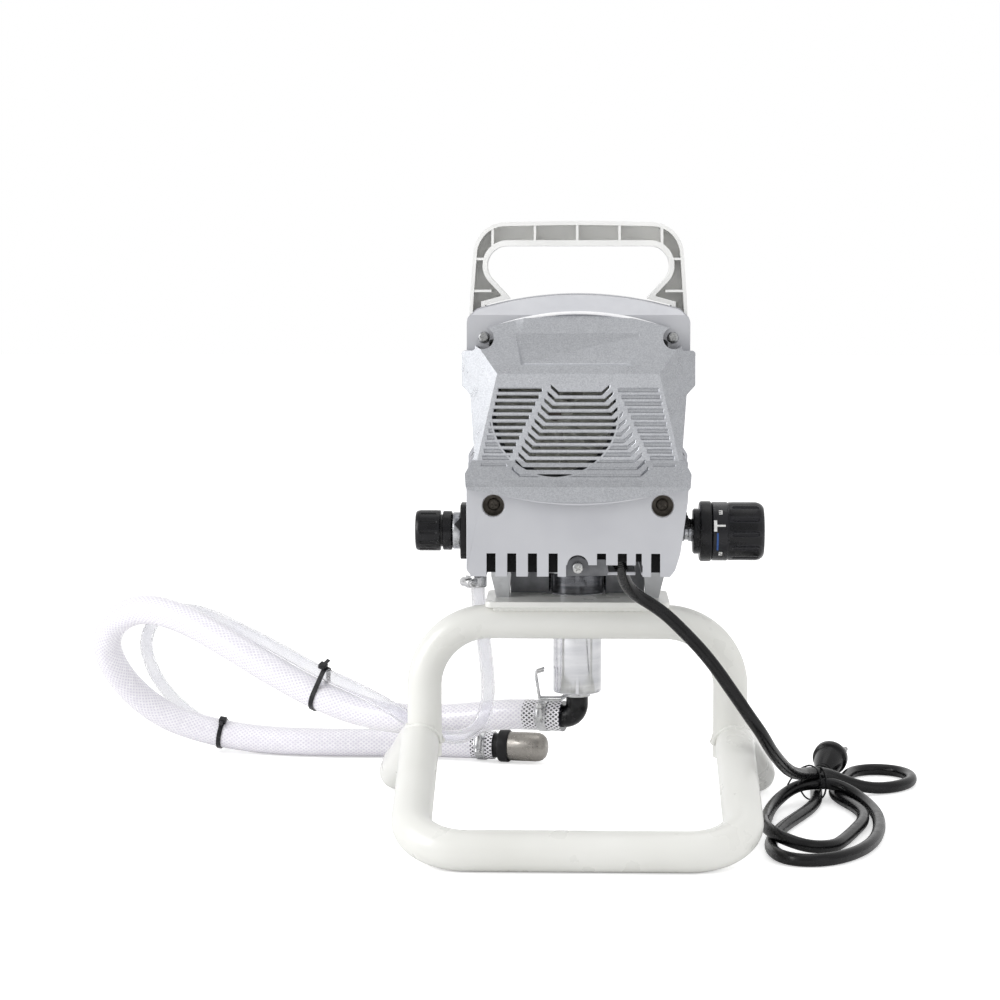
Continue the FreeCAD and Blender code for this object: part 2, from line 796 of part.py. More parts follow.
def make_bearing_plate():
    y = (case_front_y, case_front_y + bearing_plate_thickness)
    plate = lobes(case_wall, y)
    plate = joined(plate, *[along_y(6.5, x, z, y) for x, z in case_bolt_places()])
    plate = plate.cut(along_y(17.5, 0, crank_z, (case_front_y + 1, y[1])))
    plate = plate.cut(along_y(crank_shaft_radius + 1.5, 0, crank_z, y))
    plate = plate.cut(along_y(idler_shaft_radius - running_gap, idler_x, idler_z, (y[0], y[1] - 3)))
    for x, z in case_bolt_places():
        plate = plate.cut(along_y(2.0, x, z, y))
    plate = plate.cut(box((-60, 60), y, (manifold_top_z, flange_top_z)))
    save("bearing_plate", plate)


def make_housing_bolts():
    bolts = []
    plate_front = case_front_y + bearing_plate_thickness
    for x, z in case_bolt_places():
        head = along_y(4.0, x, z, (plate_front, plate_front + 3))
        bolts.append(joined(head, along_y(2.0, x, z, (case_front_y - 12, plate_front))))
    for x, y in flange_bolt_places():
        head = hexagon(bolt_head_radius, V(x, y, flange_top_z), V(x, y, flange_top_z + bolt_head_height))
        bolts.append(joined(head, along_z(bolt_radius, x, y, (manifold_top_z, flange_top_z))))
    for x, y in handle_screw_places():
        low = bridge_z[0]
        head = hexagon(bolt_head_radius, V(x, y, low - bolt_head_height), V(x, y, low))
        bolts.append(joined(head, along_z(bolt_radius, x, y, bridge_z)))
    save("housing_bolts", Part.makeCompound(bolts))


# Motor

def make_motor():
    start, end = motor_y
    case = ring(motor_case_radius, motor_case_radius - motor_case_wall, V(motor_x, start, motor_z),
                V(motor_x, end, motor_z))
    for k in range(8):
        angle = math.radians(45 * k + 22.5)
        window = box((-7, 7), (start + 6, start + 22), (motor_case_radius - 6, motor_case_radius + 4))
        window.rotate(V(0, 0, 0), Y_AXIS, math.degrees(angle))
        window.translate(V(motor_x, 0, motor_z))
        case = case.cut(window)
    save("motor_case", case)
    stator_outer = motor_case_radius - motor_case_wall
    stator = ring(stator_outer, rotor_radius + air_gap, V(motor_x, -88, motor_z), V(motor_x, -36, motor_z))
    save("stator", stator)
    rotor = along_y(motor_shaft_radius, motor_x, motor_z, (fan_y[0] - 3, first_stage_y[0]))
    core = along_y(rotor_radius, motor_x, motor_z, (-88, -40))
    for k in range(12):
        angle = math.radians(30 * k)
        x = motor_x + (rotor_radius - 1) * math.cos(angle)
        z = motor_z + (rotor_radius - 1) * math.sin(angle)
        core = core.cut(along_y(2.2, x, z, (-88, -40)))
    commutator = along_y(13.0, motor_x, motor_z, (-97, -90))
    toward_idler = math.atan2(idler_z - motor_z, idler_x - motor_x)
    pinion_y = (first_stage_y[0], first_stage_y[1] + 0.5)
    pinion = gear(pinion_teeth, tooth_module, 1.5, motor_x, motor_z, pinion_y, toward_idler)
    save("rotor", joined(rotor, core, commutator, pinion))
    bracket_y = (start - 8, start)
    bracket = ring(motor_case_radius, motor_case_radius - 5, V(motor_x, bracket_y[0], motor_z),
                   V(motor_x, bracket_y[1], motor_z))
    hub = ring(17.0, 13.0, V(motor_x, bracket_y[0], motor_z), V(motor_x, bracket_y[1], motor_z))
    arms = []
    for k in range(4):
        arm = box((15, motor_case_radius - 3), bracket_y, (-5, 5))
        arm.rotate(V(0, 0, 0), Y_AXIS, 90 * k + 45)
        arm.translate(V(motor_x, 0, motor_z))
        arms.append(arm)
    save("motor_bracket", joined(bracket, hub, *arms))


def make_cooling_fan():
    hub = along_y(14.0, motor_x, motor_z, fan_y).cut(along_y(motor_shaft_radius, motor_x, motor_z, fan_y))
    back = along_y(fan_radius, motor_x, motor_z, (fan_y[1] - 2, fan_y[1]))
    back = back.cut(along_y(12.0, motor_x, motor_z, (fan_y[1] - 2, fan_y[1])))
    blades = []
    for k in range(fan_blades):
        blade = box((12.0, fan_radius - 0.5), (fan_y[0], fan_y[1] - 1), (-1.0, 1.0))
        blade.rotate(V(12, 0, 0), Y_AXIS, 24)
        blade.rotate(V(0, 0, 0), Y_AXIS, 360 * k / fan_blades)
        blade.translate(V(motor_x, 0, motor_z))
        blades.append(blade)
    fan = joined(hub, back, *blades)
    save("cooling_fan", fan.common(along_y(fan_radius, motor_x, motor_z, fan_y)))


# Shells

def shell_outline(half_width):
    """The section of the body: domed top, chamfered shoulders, waist, flare and a slanted lower side."""
    right = [
        (0, shell_top_z + 6, 285),
        (half_width - 8, shell_top_z - 14, 8),
        (half_width, shell_top_z - 22, 5),
        (half_width, 371, 4),
        (half_width - 7, 361, 4),
        (half_width - 8, 322, 4),
        (half_width - 1, 311, 4),
        (half_width - 2.5, 283, 30),
        (half_width - 8, comb_top_z, 30),
        (half_width - 12, shell_bottom_z + 5, 4),
        (half_width - 16, shell_bottom_z, 0),
    ]
    left = [(-x, z, radius) for x, z, radius in right[:6]]
    left += [
        (-half_width + 1, 311, 4),
        (-half_width + 1, shell_bottom_z + 5, 4),
        (-half_width + 5, shell_bottom_z, 0),
    ]
    return mirrored(right, left)


def screw_recess(place, y):
    x, z = place
    return [along_y(screw_recess_radius, side * x, z, y) for side in (-1, 1)]


def make_motor_shroud():
    outline = shell_outline(shroud_half_width)
    y = (shroud_rear_y, parting_y)
    outer = prism(outline, y)
    inner = prism(outline, (shroud_rear_y + shell_wall, parting_y + 1), shell_wall)
    slope_top = V(0, shroud_rear_y + 26, shell_top_z)
    slope_normal = V(0, -18, 26)
    outer = outer.cut(beyond(slope_top, slope_normal))
    inner = inner.cut(beyond(slope_top + V(0, shell_wall, -shell_wall), slope_normal))
    shell = outer.cut(inner)
    opening = prism(cover_outline(), (shroud_rear_y - 1, shroud_rear_y + shell_wall + 1), 10.0)
    shell = shell.cut(opening)
    shell = shell.common(box((-200, 200), (-200, 200), (shell_split_z, shell_top_z + 56)))
    for side in (-1, 1):
        hole = along_y(screw_radius, side * upper_screw[0], upper_screw[1],
                       (shroud_rear_y, shroud_rear_y + shell_wall))
        shell = shell.cut(hole)
    save("motor_shroud", shell)


def make_lower_shroud():
    outline = shell_outline(shroud_half_width)
    outer = prism(outline, (lower_rear_y, parting_y))
    limits = box((-200, 200), (-200, 200), (0, shell_split_z))
    outer = outer.common(limits)
    near_edges = [edge for edge in outer.Edges if edge.BoundBox.YMax < lower_rear_y + 0.1]
    rim = [edge for edge in near_edges if edge.BoundBox.ZMin < shell_split_z - 1]
    rim = [edge for edge in rim if edge.BoundBox.ZMin > shell_bottom_z + 0.1]
    outer = outer.makeFillet(2.0, rim)
    inner = prism(outline, (lower_rear_y + shell_wall, parting_y + 1), shell_wall)
    inner = inner.fuse(box((-60, 60), (lower_rear_y + shell_wall, parting_y + 1),
                           (shell_bottom_z - 5, shell_bottom_z + 5)))
    shell = outer.cut(inner)
    floor = prism(outline, (lower_rear_y + shell_wall, parting_y + 1), shell_wall)
    floor.translate(V(0, 0, -shell_wall - 1))
    shell = shell.cut(floor)
    wall_y = (lower_rear_y - 1, lower_rear_y + shell_wall + 3)
    for x in comb_left + comb_right:
        width = comb_width if x != comb_right[2] else comb_width - 2.4
        slot = box((x - width / 2, x + width / 2), wall_y, (shell_bottom_z - 1, comb_top_z))
        shell = shell.cut(slot)
    cord_notch = box((-9, 50), wall_y, (shell_bottom_z - 1, shell_bottom_z + 9))
    shell = shell.cut(cord_notch)
    for side in (-1, 1):
        x, z = side * lower_screw[0], lower_screw[1]
        cup_y = (lower_rear_y, lower_rear_y + 14)
        cup = along_y(screw_recess_radius + 2, x, z, cup_y)
        shell = joined(shell, cup)
        shell = shell.cut(along_y(screw_recess_radius, x, z, (lower_rear_y, lower_rear_y + 12)))
        shell = shell.cut(along_y(screw_radius, x, z, cup_y))
    save("lower_shroud", max(shell.Solids, key=lambda solid: solid.Volume))


def cover_outline():
    """The rear cover's outline: domed top, square shoulders, waist, flare and a curved foot."""
    right = [
        (0, cover_top_z + 10.4, 220),
        (79, 414, 3),
        (79.5, 399, 3),
        (90.5, 398.5, 2.5),
        (90.5, 372, 2.5),
        (83.5, 365, 2),
        (80, 318, 3),
        (87, 305, 3),
        (86, 291.5, 3),
        (0, cover_bottom_z - 11.5, 300),
    ]
    return mirrored(right)


def cover_body(inset):
    """The faceted body of the rear cover, every face drawn in by an inset."""
    low, high = cover_ridge_y - 12, shroud_rear_y
    top = V(0, cover_top_y + inset, cover_top_z)
    ridge = V(0, cover_ridge_y + inset, cover_ridge_z)
    foot = V(0, cover_foot_y + inset, cover_foot_z)
    lip = V(0, cover_ridge_y - 0.5 + inset, cover_foot_z - 17)
    body = prism(cover_outline(), (low, high + inset), inset)
    upper_normal = (top - ridge).cross(X_AXIS)
    fan_normal = (ridge - foot).cross(X_AXIS)
    lip_normal = (foot - lip).cross(X_AXIS)
    main = body.cut(beyond(ridge, upper_normal if upper_normal.y < 0 else upper_normal * -1))
    main = main.cut(beyond(foot, fan_normal if fan_normal.y < 0 else fan_normal * -1))
    for side in (-1, 1):
        corner = V(side * (cover_ridge_half_width - inset * 0.4), ridge.y, cover_ridge_z)
        lower = V(side * (cover_foot_half_width - inset * 0.4), foot.y, cover_foot_z)
        upper = V(side * (74.6 - inset * 0.4), top.y + (ridge.y - top.y) * 0.614, 399)
        normal = (lower - corner).cross(upper - corner)
        if normal.y > 0:
            normal = normal * -1
        main = main.cut(beyond(corner, normal))
    split = box((-200, 200), (-300, 0), (0, cover_foot_z))
    skirt = body.common(split)
    skirt = skirt.cut(beyond(foot, lip_normal if lip_normal.y < 0 else lip_normal * -1))
    skirt = skirt.cut(box((-200, 200), (-300, lip.y), (0, 400)))
    return joined(main, skirt)


def slot_rows():
    return [grille_top_z - grille_pitch * k for k in range(grille_rows)]


def flat_slot(x0, x1, z, y):
    return box((x0, x1), y, (z - grille_slot / 2, z + grille_slot / 2))


def bent_slot(half, z, y):
    """A slot whose two ends turn up by 45 degrees, as one prism."""
    rise = 5.6
    w = grille_slot / 2
    cut = w * math.tan(math.radians(22.5))
    centre = 1.5
    lower = [(-half - rise, z + rise - w), (-half, z - w), (half, z - w), (half + rise, z + rise - w)]
    upper = [(half + rise, z + rise + w), (half - cut, z + w), (-half + cut, z + w),
             (-half - rise, z + rise + w)]
    corners = [(x + centre, height, 0) for x, height in lower + upper]
    return prism(corners, y)


def bar_x(z):
    """The slanted bars' distance from the grille's middle at a height."""
    return 28.0 + (grille_top_z - z) * 0.473


def margin_x(z):
    return cover_ridge_half_width - 4.0 + (cover_ridge_z - z) * 0.232


def grille_slots(y):
    slots = []
    for z in slot_rows():
        bar = bar_x(z)
        slots.append(flat_slot(-margin_x(z), -bar, z, y))
        slots.append(flat_slot(bar + 3.0, margin_x(z), z, y))
        slots.append(bent_slot(bar - 11.5, z - 2.6, y))
    return slots


def make_rear_cover():
    shell = cover_body(0).cut(cover_body(cover_wall))
    seat = box((-200, 200), (lower_rear_y, 0), (0, shell_split_z + 0.5))
    shell = shell.cut(seat)
    for cut in screw_recess(upper_screw, (cover_ridge_y, shroud_rear_y + 1)):
        shell = shell.cut(cut)
    for cut in screw_recess(lower_screw, (cover_ridge_y - 10, shroud_rear_y)):
        shell = shell.cut(cut)
    y = (cover_ridge_y - 5, cover_ridge_y + 25)
    slots = grille_slots(y)
    outside = along_y(grille_radius + 1.4, motor_x, motor_z + 1, y)
    grooves = [slot.cut(outside) for slot in slots]
    through = [slot.common(along_y(grille_radius, motor_x, motor_z + 1, y)) for slot in slots]
    deeper = cover_body(0)
    deeper.translate(V(0, groove_depth, 0))
    grooves = Part.makeCompound([solid for slot in grooves for solid in slot.Solids]).cut(deeper)
    shell = shell.cut(grooves)
    openings = [solid for slot in through for solid in slot.Solids if solid.Volume > 60]
    shell = shell.cut(Part.makeCompound(openings))
    recess = prism([(-48, 412, 0), (47, 412, 0), (41, 388, 2), (-42, 388, 2)],
                   (cover_ridge_y - 5, cover_top_y + 10))
    depth = 1.8
    face_low = V(0, cover_ridge_y + depth, cover_ridge_z)
    face_high = V(0, cover_top_y, cover_top_z)
    normal = (face_high - face_low).cross(X_AXIS)
    shell = shell.cut(recess.common(beyond(face_low, normal if normal.y < 0 else normal * -1)))
    save("rear_cover", max(shell.Solids, key=lambda solid: solid.Volume))


def make_front_cover():
    outline = shell_outline(front_half_width)
    top_slope = V(0, 60, shell_top_z)
    top_normal = V(0, 40, 38)
    outer = prism(outline, (parting_y, front_face_y)).cut(beyond(top_slope, top_normal))
    for side in (-1, 1):
        outer = outer.cut(beyond(V(side * front_half_width, 66, 0), V(side * 26, 20, 0)))
    inner = prism(outline, (parting_y - 1, front_face_y - shell_wall), shell_wall)
    inner = inner.cut(beyond(top_slope - V(0, shell_wall, shell_wall), top_normal))
    for side in (-1, 1):
        inner = inner.cut(beyond(V(side * (front_half_width - shell_wall * 1.3), 66, 0), V(side * 26, 20, 0)))
    shell = outer.cut(inner)
    shell = shell.common(box((-200, 200), (-200, 200), (front_bottom_z, shell_top_z + 56)))
    for side in (-1, 1):
        x = sorted((side * (handle_window_half_width + 0.5), side * 120))
        shell = shell.cut(box(x, (handle_y[0] - 0.5, handle_y[1] + 0.5), (bridge_z[0] - 2, shell_top_z + 16)))
    loom = box((75, 100), (valve_y - 14, valve_y + 2), (front_bottom_z, front_bottom_z + 10))
    shell = shell.cut(loom)
    face = (front_face_y - shell_wall, front_face_y)
    shell = shell.cut(box((switch_x - 14, switch_x + 14), face, (switch_z - 11, switch_z + 11)))
    for k in range(5):
        z = 385 - 9 * k
        shell = shell.cut(box((-44, 6), face, (z, z + 4)))
    save("front_cover", max(shell.Solids, key=lambda solid: solid.Volume))


def cross_screw(x, z, y, head_radius, length):
    """A pan-head screw along Y with a cross recess, its head on the -Y side."""
    head = along_y(head_radius, x, z, (y - 2.4, y))
    head = head.makeFillet(1.2, [edge for edge in head.Edges if edge.BoundBox.YMax < y - 2.3])
    screw = joined(head, along_y(screw_radius, x, z, (y, y + length)))
    arm = head_radius * 0.6
    for half in ((arm, 0.55), (0.55, arm)):
        cut = box((x - half[0], x + half[0]), (y - 3, y - 1.0), (z - half[1], z + half[1]))
        screw = screw.cut(cut)
    return screw


def make_shroud_screws():
    screws = []
    for side in (-1, 1):
        screws.append(cross_screw(side * upper_screw[0], upper_screw[1], shroud_rear_y, 4.5, 16))
        screws.append(cross_screw(side * lower_screw[0], lower_screw[1], lower_rear_y + 12, 4.8, 16))
    screws.append(cross_screw(0, bracket_screw_z, lower_rear_y, 4.2, 8))
    save("shroud_screws", Part.makeCompound(screws))


def make_shroud_bracket():
    rear = lower_rear_y + shell_wall + 1
    face = prism([(-12, 225, 2), (-7, 238, 2), (22, 238, 2), (24, 227, 2)], (rear, rear + 2))
    face = face.cut(along_y(screw_radius, 0, bracket_screw_z, (rear, rear + 2)))
    strip = box((-10, 12), (rear, case_rear_y + 2), (227, 229))
    riser = box((-10, 12), (case_rear_y - 2, case_rear_y), (227, 268))
    bridge = box((-10, 12), (case_rear_y - 2, case_rear_y + 2), (227, 229))
    save("shroud_bracket", joined(face, strip, riser, bridge))


# Handle

def handle_corners():
    """Outer outline of the handle, from the left foot over the grip to the right foot."""
    half = handle_half_width
    foot = bridge_z[1]
    return [
        (-half, foot, 0),
        (-half, handle_top_z - 70.5, 200),
        (-half + 5, handle_top_z, 27),
        (0, handle_top_z + 1.5, 700),
        (half - 5, handle_top_z, 27),
        (half, handle_top_z - 70.5, 200),
        (half, foot, 0),
    ]


def make_handle():
    half = handle_half_width
    foot = bridge_z[1]
    window_half, window_low = handle_window_half_width, handle_window_z
    grip_low = handle_top_z - handle_grip
    outer = handle_corners()
    arch = outer + [
        (half - 13, foot, 0),
        (half - 13, window_low - 12, 0),
        (window_half - 19, window_low - 7, 0),
        (window_half - 17, window_low - 4, 6),
        (window_half, window_low + 14, 16),
        (window_half - 1.5, grip_low, 16),
        (-window_half + 1.5, grip_low, 16),
        (-window_half, window_low + 14, 16),
        (-window_half + 17, window_low - 4, 6),
        (-window_half + 19, window_low - 7, 0),
        (-half + 13, window_low - 12, 0),
        (-half + 13, foot, 0),
    ]
    solid = prism(arch, handle_y)
    pocket_y = (handle_y[0] - 1, handle_y[1] - handle_wall)
    pocket = Part.Face(rounded_loop(arch, handle_y[0])).makeOffset2D(-handle_wall + 0.4)
    pocket = pocket.extrude(V(0, pocket_y[1] - handle_y[0], 0))
    rib_y = (handle_y[0] + 0.6, handle_y[1])
    ribs = []
    for x in (-70, -35, 0, 35, 70):
        ribs.append(box((x - 1, x + 1), rib_y, (grip_low - 3, handle_top_z + 2)))
    for z in (window_low - 0.5, window_low + 25.5):
        ribs.append(box((-half - 1, -window_half + 4), rib_y, (z - 1, z + 1)))
        ribs.append(box((window_half - 4, half + 1), rib_y, (z - 1, z + 1)))
    ribs = [rib.common(solid) for rib in ribs]
    feet = [box(sorted((side * (half - 13), side * half)), handle_y, (foot, foot + 6)) for side in (-1, 1)]
    handle = solid.cut(pocket)
    handle = joined(handle, *ribs, *feet)
    save("handle", max(handle.Solids, key=lambda part: part.Volume))


# Valves and fittings

def make_prime_valve():
    wall = manifold_x[0]
    flange_end = wall - 5.2
    ring_end = flange_end - 7.0
    flange = box((flange_end, wall), (valve_y - 17, valve_y + 17), (valve_z - 23, valve_z + 23))
    upright = [edge for edge in flange.Edges if abs(edge.tangentAt(edge.FirstParameter).x) > 0.9]
    flange = flange.makeFillet(8.0, upright)
    flange = flange.cut(along_x(valve_stem_radius + running_gap, valve_y, valve_z, (flange_end, wall)))
    save("valve_flange", flange)
    index = along_x(15.5, valve_y, valve_z, (ring_end, flange_end))
    pointer = prism([(flange_end, valve_z + 10, 0), (flange_end, valve_z - 10, 0),
                     (ring_end + 1, valve_z, 0)], (valve_y - 17.5, valve_y - 10))
    index = joined(index, pointer)
    index = index.cut(along_x(valve_stem_radius + running_gap, valve_y, valve_z, (ring_end, flange_end)))
    save("valve_index_ring", index)
    gap = 0.4
    collar = along_x(16.4, valve_y, valve_z, (ring_end - gap - 7.5, ring_end - gap))
    neck = along_x(13.5, valve_y, valve_z, (ring_end - gap - 10, ring_end - gap - 7))
    cap = along_x(17.0, valve_y, valve_z, (ring_end - gap - 30.5, ring_end - gap - 9.5))
    cap = cap.makeFillet(2.5, [edge for edge in cap.Edges if edge.BoundBox.XMax < ring_end - gap - 30])
    stem = along_x(valve_stem_radius, valve_y, valve_z, (ring_end - gap - 5, wall + 20))
    knob = joined(collar, neck, cap, stem)
    for k in range(12):
        angle = 2 * math.pi * k / 12
        y = valve_y + 18.0 * math.cos(angle)
        z = valve_z + 18.0 * math.sin(angle)
        knob = knob.cut(along_x(1.8, y, z, (ring_end - gap - 27, ring_end - gap - 12)))
    save("prime_knob", knob)


def make_drain_barb():
    low = valve_z - manifold_half_height
    thread = along_z(drain_thread_radius, drain_x, valve_y, (low, low + 5))
    nut = hexagon(8.0, V(drain_x, valve_y, low - 7), V(drain_x, valve_y, low))
    barb = along_z(3.6, drain_x, valve_y, (low - 28, low - 7))
    rings = [Part.makeCone(4.4, 3.6, 5, V(drain_x, valve_y, low - 13 - 6 * k)) for k in range(3)]
    fitting = joined(thread, nut, barb, *rings)
    save("drain_barb", fitting.cut(along_z(2.2, drain_x, valve_y, (low - 28, low + 5))))


def make_pressure_control():
    wall = manifold_x[1]
    neck = along_x(control_neck_radius, valve_y, valve_z, (wall - 14, 96.5))
    flange = along_x(19.0, valve_y, valve_z, (96.0, 101.5))
    barrel = along_x(25.2, valve_y, valve_z, (101.5, 111.6))
    barrel = barrel.makeFillet(1.5, [edge for edge in barrel.Edges if edge.Length > 100])
    spigot = along_x(12.0, valve_y, valve_z, (111.6, 122.0))
    save("control_body", joined(neck, flange, barrel, spigot))
    start = 112.0
    band = along_x(24.6, valve_y, valve_z, (start, 124.4))
    grip = along_x(24.2, valve_y, valve_z, (124.4, 155.0))
    grip = grip.makeFillet(3.0, [edge for edge in grip.Edges if edge.BoundBox.XMin > 154])
    knob = joined(band, grip)
    for k in range(12):
        angle = 2 * math.pi * k / 12
        y = valve_y + 25.6 * math.cos(angle)
        z = valve_z + 25.6 * math.sin(angle)
        knob = knob.cut(along_x(2.6, y, z, (128, 152)))
    knob = knob.cut(along_x(12.0 + running_gap, valve_y, valve_z, (start, 122.4)))
    save("pressure_knob", knob)
    loom = bent_path([V(96, 18.5, 251), V(90, 18.5, 251), V(85.5, 19, 263), V(72, 20, 268)], [5.0, 8.0])
    save("control_cable", swept(loom, 4.0))


def make_outlet_fitting():
    front = pump_y + pump_body_radius
    thread = along_y(outlet_radius, 0, outlet_z, (front - 11, front))
    nut = hexagon(10.5, V(0, front, outlet_z), V(0, front + 8, outlet_z))
    nipple = along_y(outlet_radius, 0, outlet_z, (front + 8, front + 22))
    nipple = nipple.makeChamfer(0.8, [edge for edge in nipple.Edges if edge.BoundBox.YMin > front + 21.9])
    fitting = joined(thread, nut, nipple)
    save("outlet_fitting", fitting.cut(along_y(2.5, 0, outlet_z, (front - 11, front + 22))))


def elbow_direction():
    yaw = math.radians(elbow_yaw)
    return V(-math.cos(yaw), math.sin(yaw), 0)


def make_suction_elbow():
    ahead = elbow_direction()
    top = V(0, pump_y, cylinder_bottom_z)
    corner = V(0, pump_y, elbow_z)
    body = swept(bent_path([top, corner, corner + ahead * 20], [elbow_radius + 2]), elbow_radius)
    thread = along_z(elbow_thread_radius, 0, pump_y, (cylinder_bottom_z, cylinder_bottom_z + 9))
    barb = rod(suction_bore_radius, corner + ahead * 20, corner + ahead * 48)
    elbow = joined(body, thread, barb)
    bore = swept(bent_path([top + V(0, 0, 9), corner, corner + ahead * 48], [elbow_radius + 2]), 5.5)
    save("suction_elbow", elbow.cut(bore))


def clamp(centre, axis, radius, screw_side):
    """A worm-drive hose clamp: a band and its screw housing."""
    axis = V(axis).normalize()
    half = clamp_width / 2
    band = ring(radius + 0.8, radius, centre - axis * half, centre + axis * half)
    side = V(screw_side)
    side = (side - axis * side.dot(axis)).normalize()
    across = axis.cross(side)
    seat = centre + side * (radius + 3.6)
    housing = rod(3.4, seat - across * 6.5, seat + across * 6.5)
    slotted = rod(2.6, seat + across * 6.5, seat + across * 9.5)
    return joined(band, housing.cut(rod(radius, centre - axis * 12, centre + axis * 12)), slotted)


def make_hose_clamps():
    ahead = elbow_direction()
    corner = V(0, pump_y, elbow_z)
    strainer = V(*strainer_start)
    into = strainer_axis()
    clamps = [
        clamp(corner + ahead * 34, ahead, suction_radius, V(0.3, -1, 0.1)),
        clamp(strainer - into * 12, into, suction_radius, V(0.3, -1, 0.3)),
        clamp(V(drain_x, valve_y, valve_z - manifold_half_height - 16), Z_AXIS, return_radius, V(-1, -0.6,
                                                                                                 0)),
    ]
    save("hose_clamps", Part.makeCompound(clamps))


def strainer_axis():
    return (V(*strainer_start) - V(*suction_route[-2])).normalize()


def make_strainer():
    start = V(*strainer_start)
    ahead = strainer_axis()
    barb = rod(suction_bore_radius, start - ahead * 22, start)
    collar = rod(suction_bore_radius + 2, start, start + ahead * 5)
    flange = rod(15.2, start + ahead * 5, start + ahead * 15)
    flange = flange.makeFillet(1.5, [edge for edge in flange.Edges if edge.Length > 90])
    fitting = joined(barb, collar, flange)
    save("strainer_fitting", fitting.cut(rod(5.5, start - ahead * 22, start + ahead * 15)))
    cup_start = start + ahead * 15
    cup = rod(13.6, cup_start, cup_start + ahead * 36)
    round_edges = [edge for edge in cup.Edges if edge.Length > 80]
    far_edges = [edge for edge in round_edges if (edge.CenterOfMass - cup_start).Length > 20]
    cup = cup.makeFillet(9.0, far_edges)
    hollow = rod(11.8, cup_start, cup_start + ahead * 30)
    save("strainer_cup", cup.cut(hollow))


def make_bucket_hook():
    wire = 1.0
    top = cylinder_bottom_z - 2.5
    collar = ring(elbow_radius + 2 * wire, elbow_radius, V(0, pump_y, top - 1.3), V(0, pump_y, top + 1.3))
    pieces = [collar]
    for side in (-1, 1):
        y = pump_y + side * 7.0
        points = [
            V(-7.6, y, top),
            V(-14, y, top - 4),
            V(-32, y, top - 4),
            V(-35.5, y, top + 19),
            V(-28, y, top + 21.5),
        ]
        pieces.append(swept(bent_path(points, [2.0, 2.5, 2.5]), wire))
    save("bucket_hook", joined(*pieces))


def make_power_switch():
    face = front_face_y
    bezel = box((switch_x - 16, switch_x + 16), (face, face + 2), (switch_z - 13, switch_z + 13))
    body = box((switch_x - 14, switch_x + 14), (face - 22, face), (switch_z - 11, switch_z + 11))
    well = box((switch_x - 12, switch_x + 12), (face - 11, face + 2), (switch_z - 9, switch_z + 9))
    save("power_switch", joined(bezel, body).cut(well))
    rocker = along_x(8.0, face - 2, switch_z, (switch_x - 11.6, switch_x + 11.6))
    rocker = rocker.common(box((switch_x - 20, switch_x + 20), (face - 8, face + 30),
                               (switch_z - 8.6, switch_z + 8.6)))
    slope = V(switch_x, face + 3, switch_z)
    rocker = rocker.cut(beyond(slope, V(0, 1, 0.16)))
    save("switch_rocker", rocker)


# Hoses and cord


def make_hoses():
    for name, route, radius in (
        ("suction_hose", suction_route, suction_radius),
        ("return_tube", return_route, return_radius),
        ("power_cord", cord_route, cord_radius),
        ("cord_tail", tail_route, cord_radius),
    ):
        path, radii = cord_path(route)
        tube = swept(path, radius)
        expected = math.pi * radius**2 * path.Length
        print(name, "length", round(path.Length), "volume share", round(tube.Volume / expected, 4))
        print("  least radius in diameters", round(min(radii) / (2 * radius), 1), [round(r) for r in radii])
        save(name, tube)


def flat_loop(corners, z):
    """A closed outline on the floor plane. Each corner is (x, y, radius)."""
    points = [V(x, y, z) for x, y, radius in corners]
    edges = []
    arcs = []
    for k, corner in enumerate(corners):
        arcs.append(arc_corner(points[k - 1], points[k], points[(k + 1) % len(points)], corner[2]))
    for k, (start, middle, end) in enumerate(arcs):
        edges.append(Part.Arc(start, middle, end).toShape())
        following = arcs[(k + 1) % len(arcs)][0]
        if (following - end).Length > 1e-4:
            edges.append(Part.LineSegment(end, following).toShape())
    return Part.Wire(edges)


def make_cord_coil():
    face = Part.Face(flat_loop(coil_corners, 0.0))
    coil = face.extrude(V(0, 0, coil_height))
    hole = face.makeOffset2D(-coil_width).extrude(V(0, 0, coil_height))
    coil = coil.cut(hole)
    for route in (cord_route, tail_route):
        path, radii = cord_path(route)
        coil = coil.cut(swept(path, cord_radius))
    save("cord_coil", max(coil.Solids, key=lambda solid: solid.Volume))


def make_power_plug():
    """A two-pin plug that lies on the floor, its cable entry on the end of the cord's tail."""
    entry = V(*tail_route[-1])
    ahead = V(*plug_axis).normalize()
    grip = Part.makeCone(7.0, 13.2, plug_grip_length, entry, ahead)
    rear = entry + ahead * plug_grip_length
    root = rear + ahead * plug_face
    face = rod(15.8, rear, root)
    face = face.makeFillet(1.5, [edge for edge in face.Edges if edge.Length > 90])
    across = ahead.cross(Z_AXIS).normalize()
    tips = root + ahead * plug_pin_length
    pins = [rod(2.4, root + across * (9.5 * side), tips + across * (9.5 * side)) for side in (-1, 1)]
    save("power_plug", joined(grip, face, *pins))


def make_cord_gland():
    end = V(*cord_route[0])
    direction = (V(*cord_route[1]) - end).normalize()
    sleeve = Part.makeCone(cord_radius + 3.2, cord_radius + 1.2, gland_length,
                           end - direction * gland_length, direction)
    save("cord_gland", sleeve)


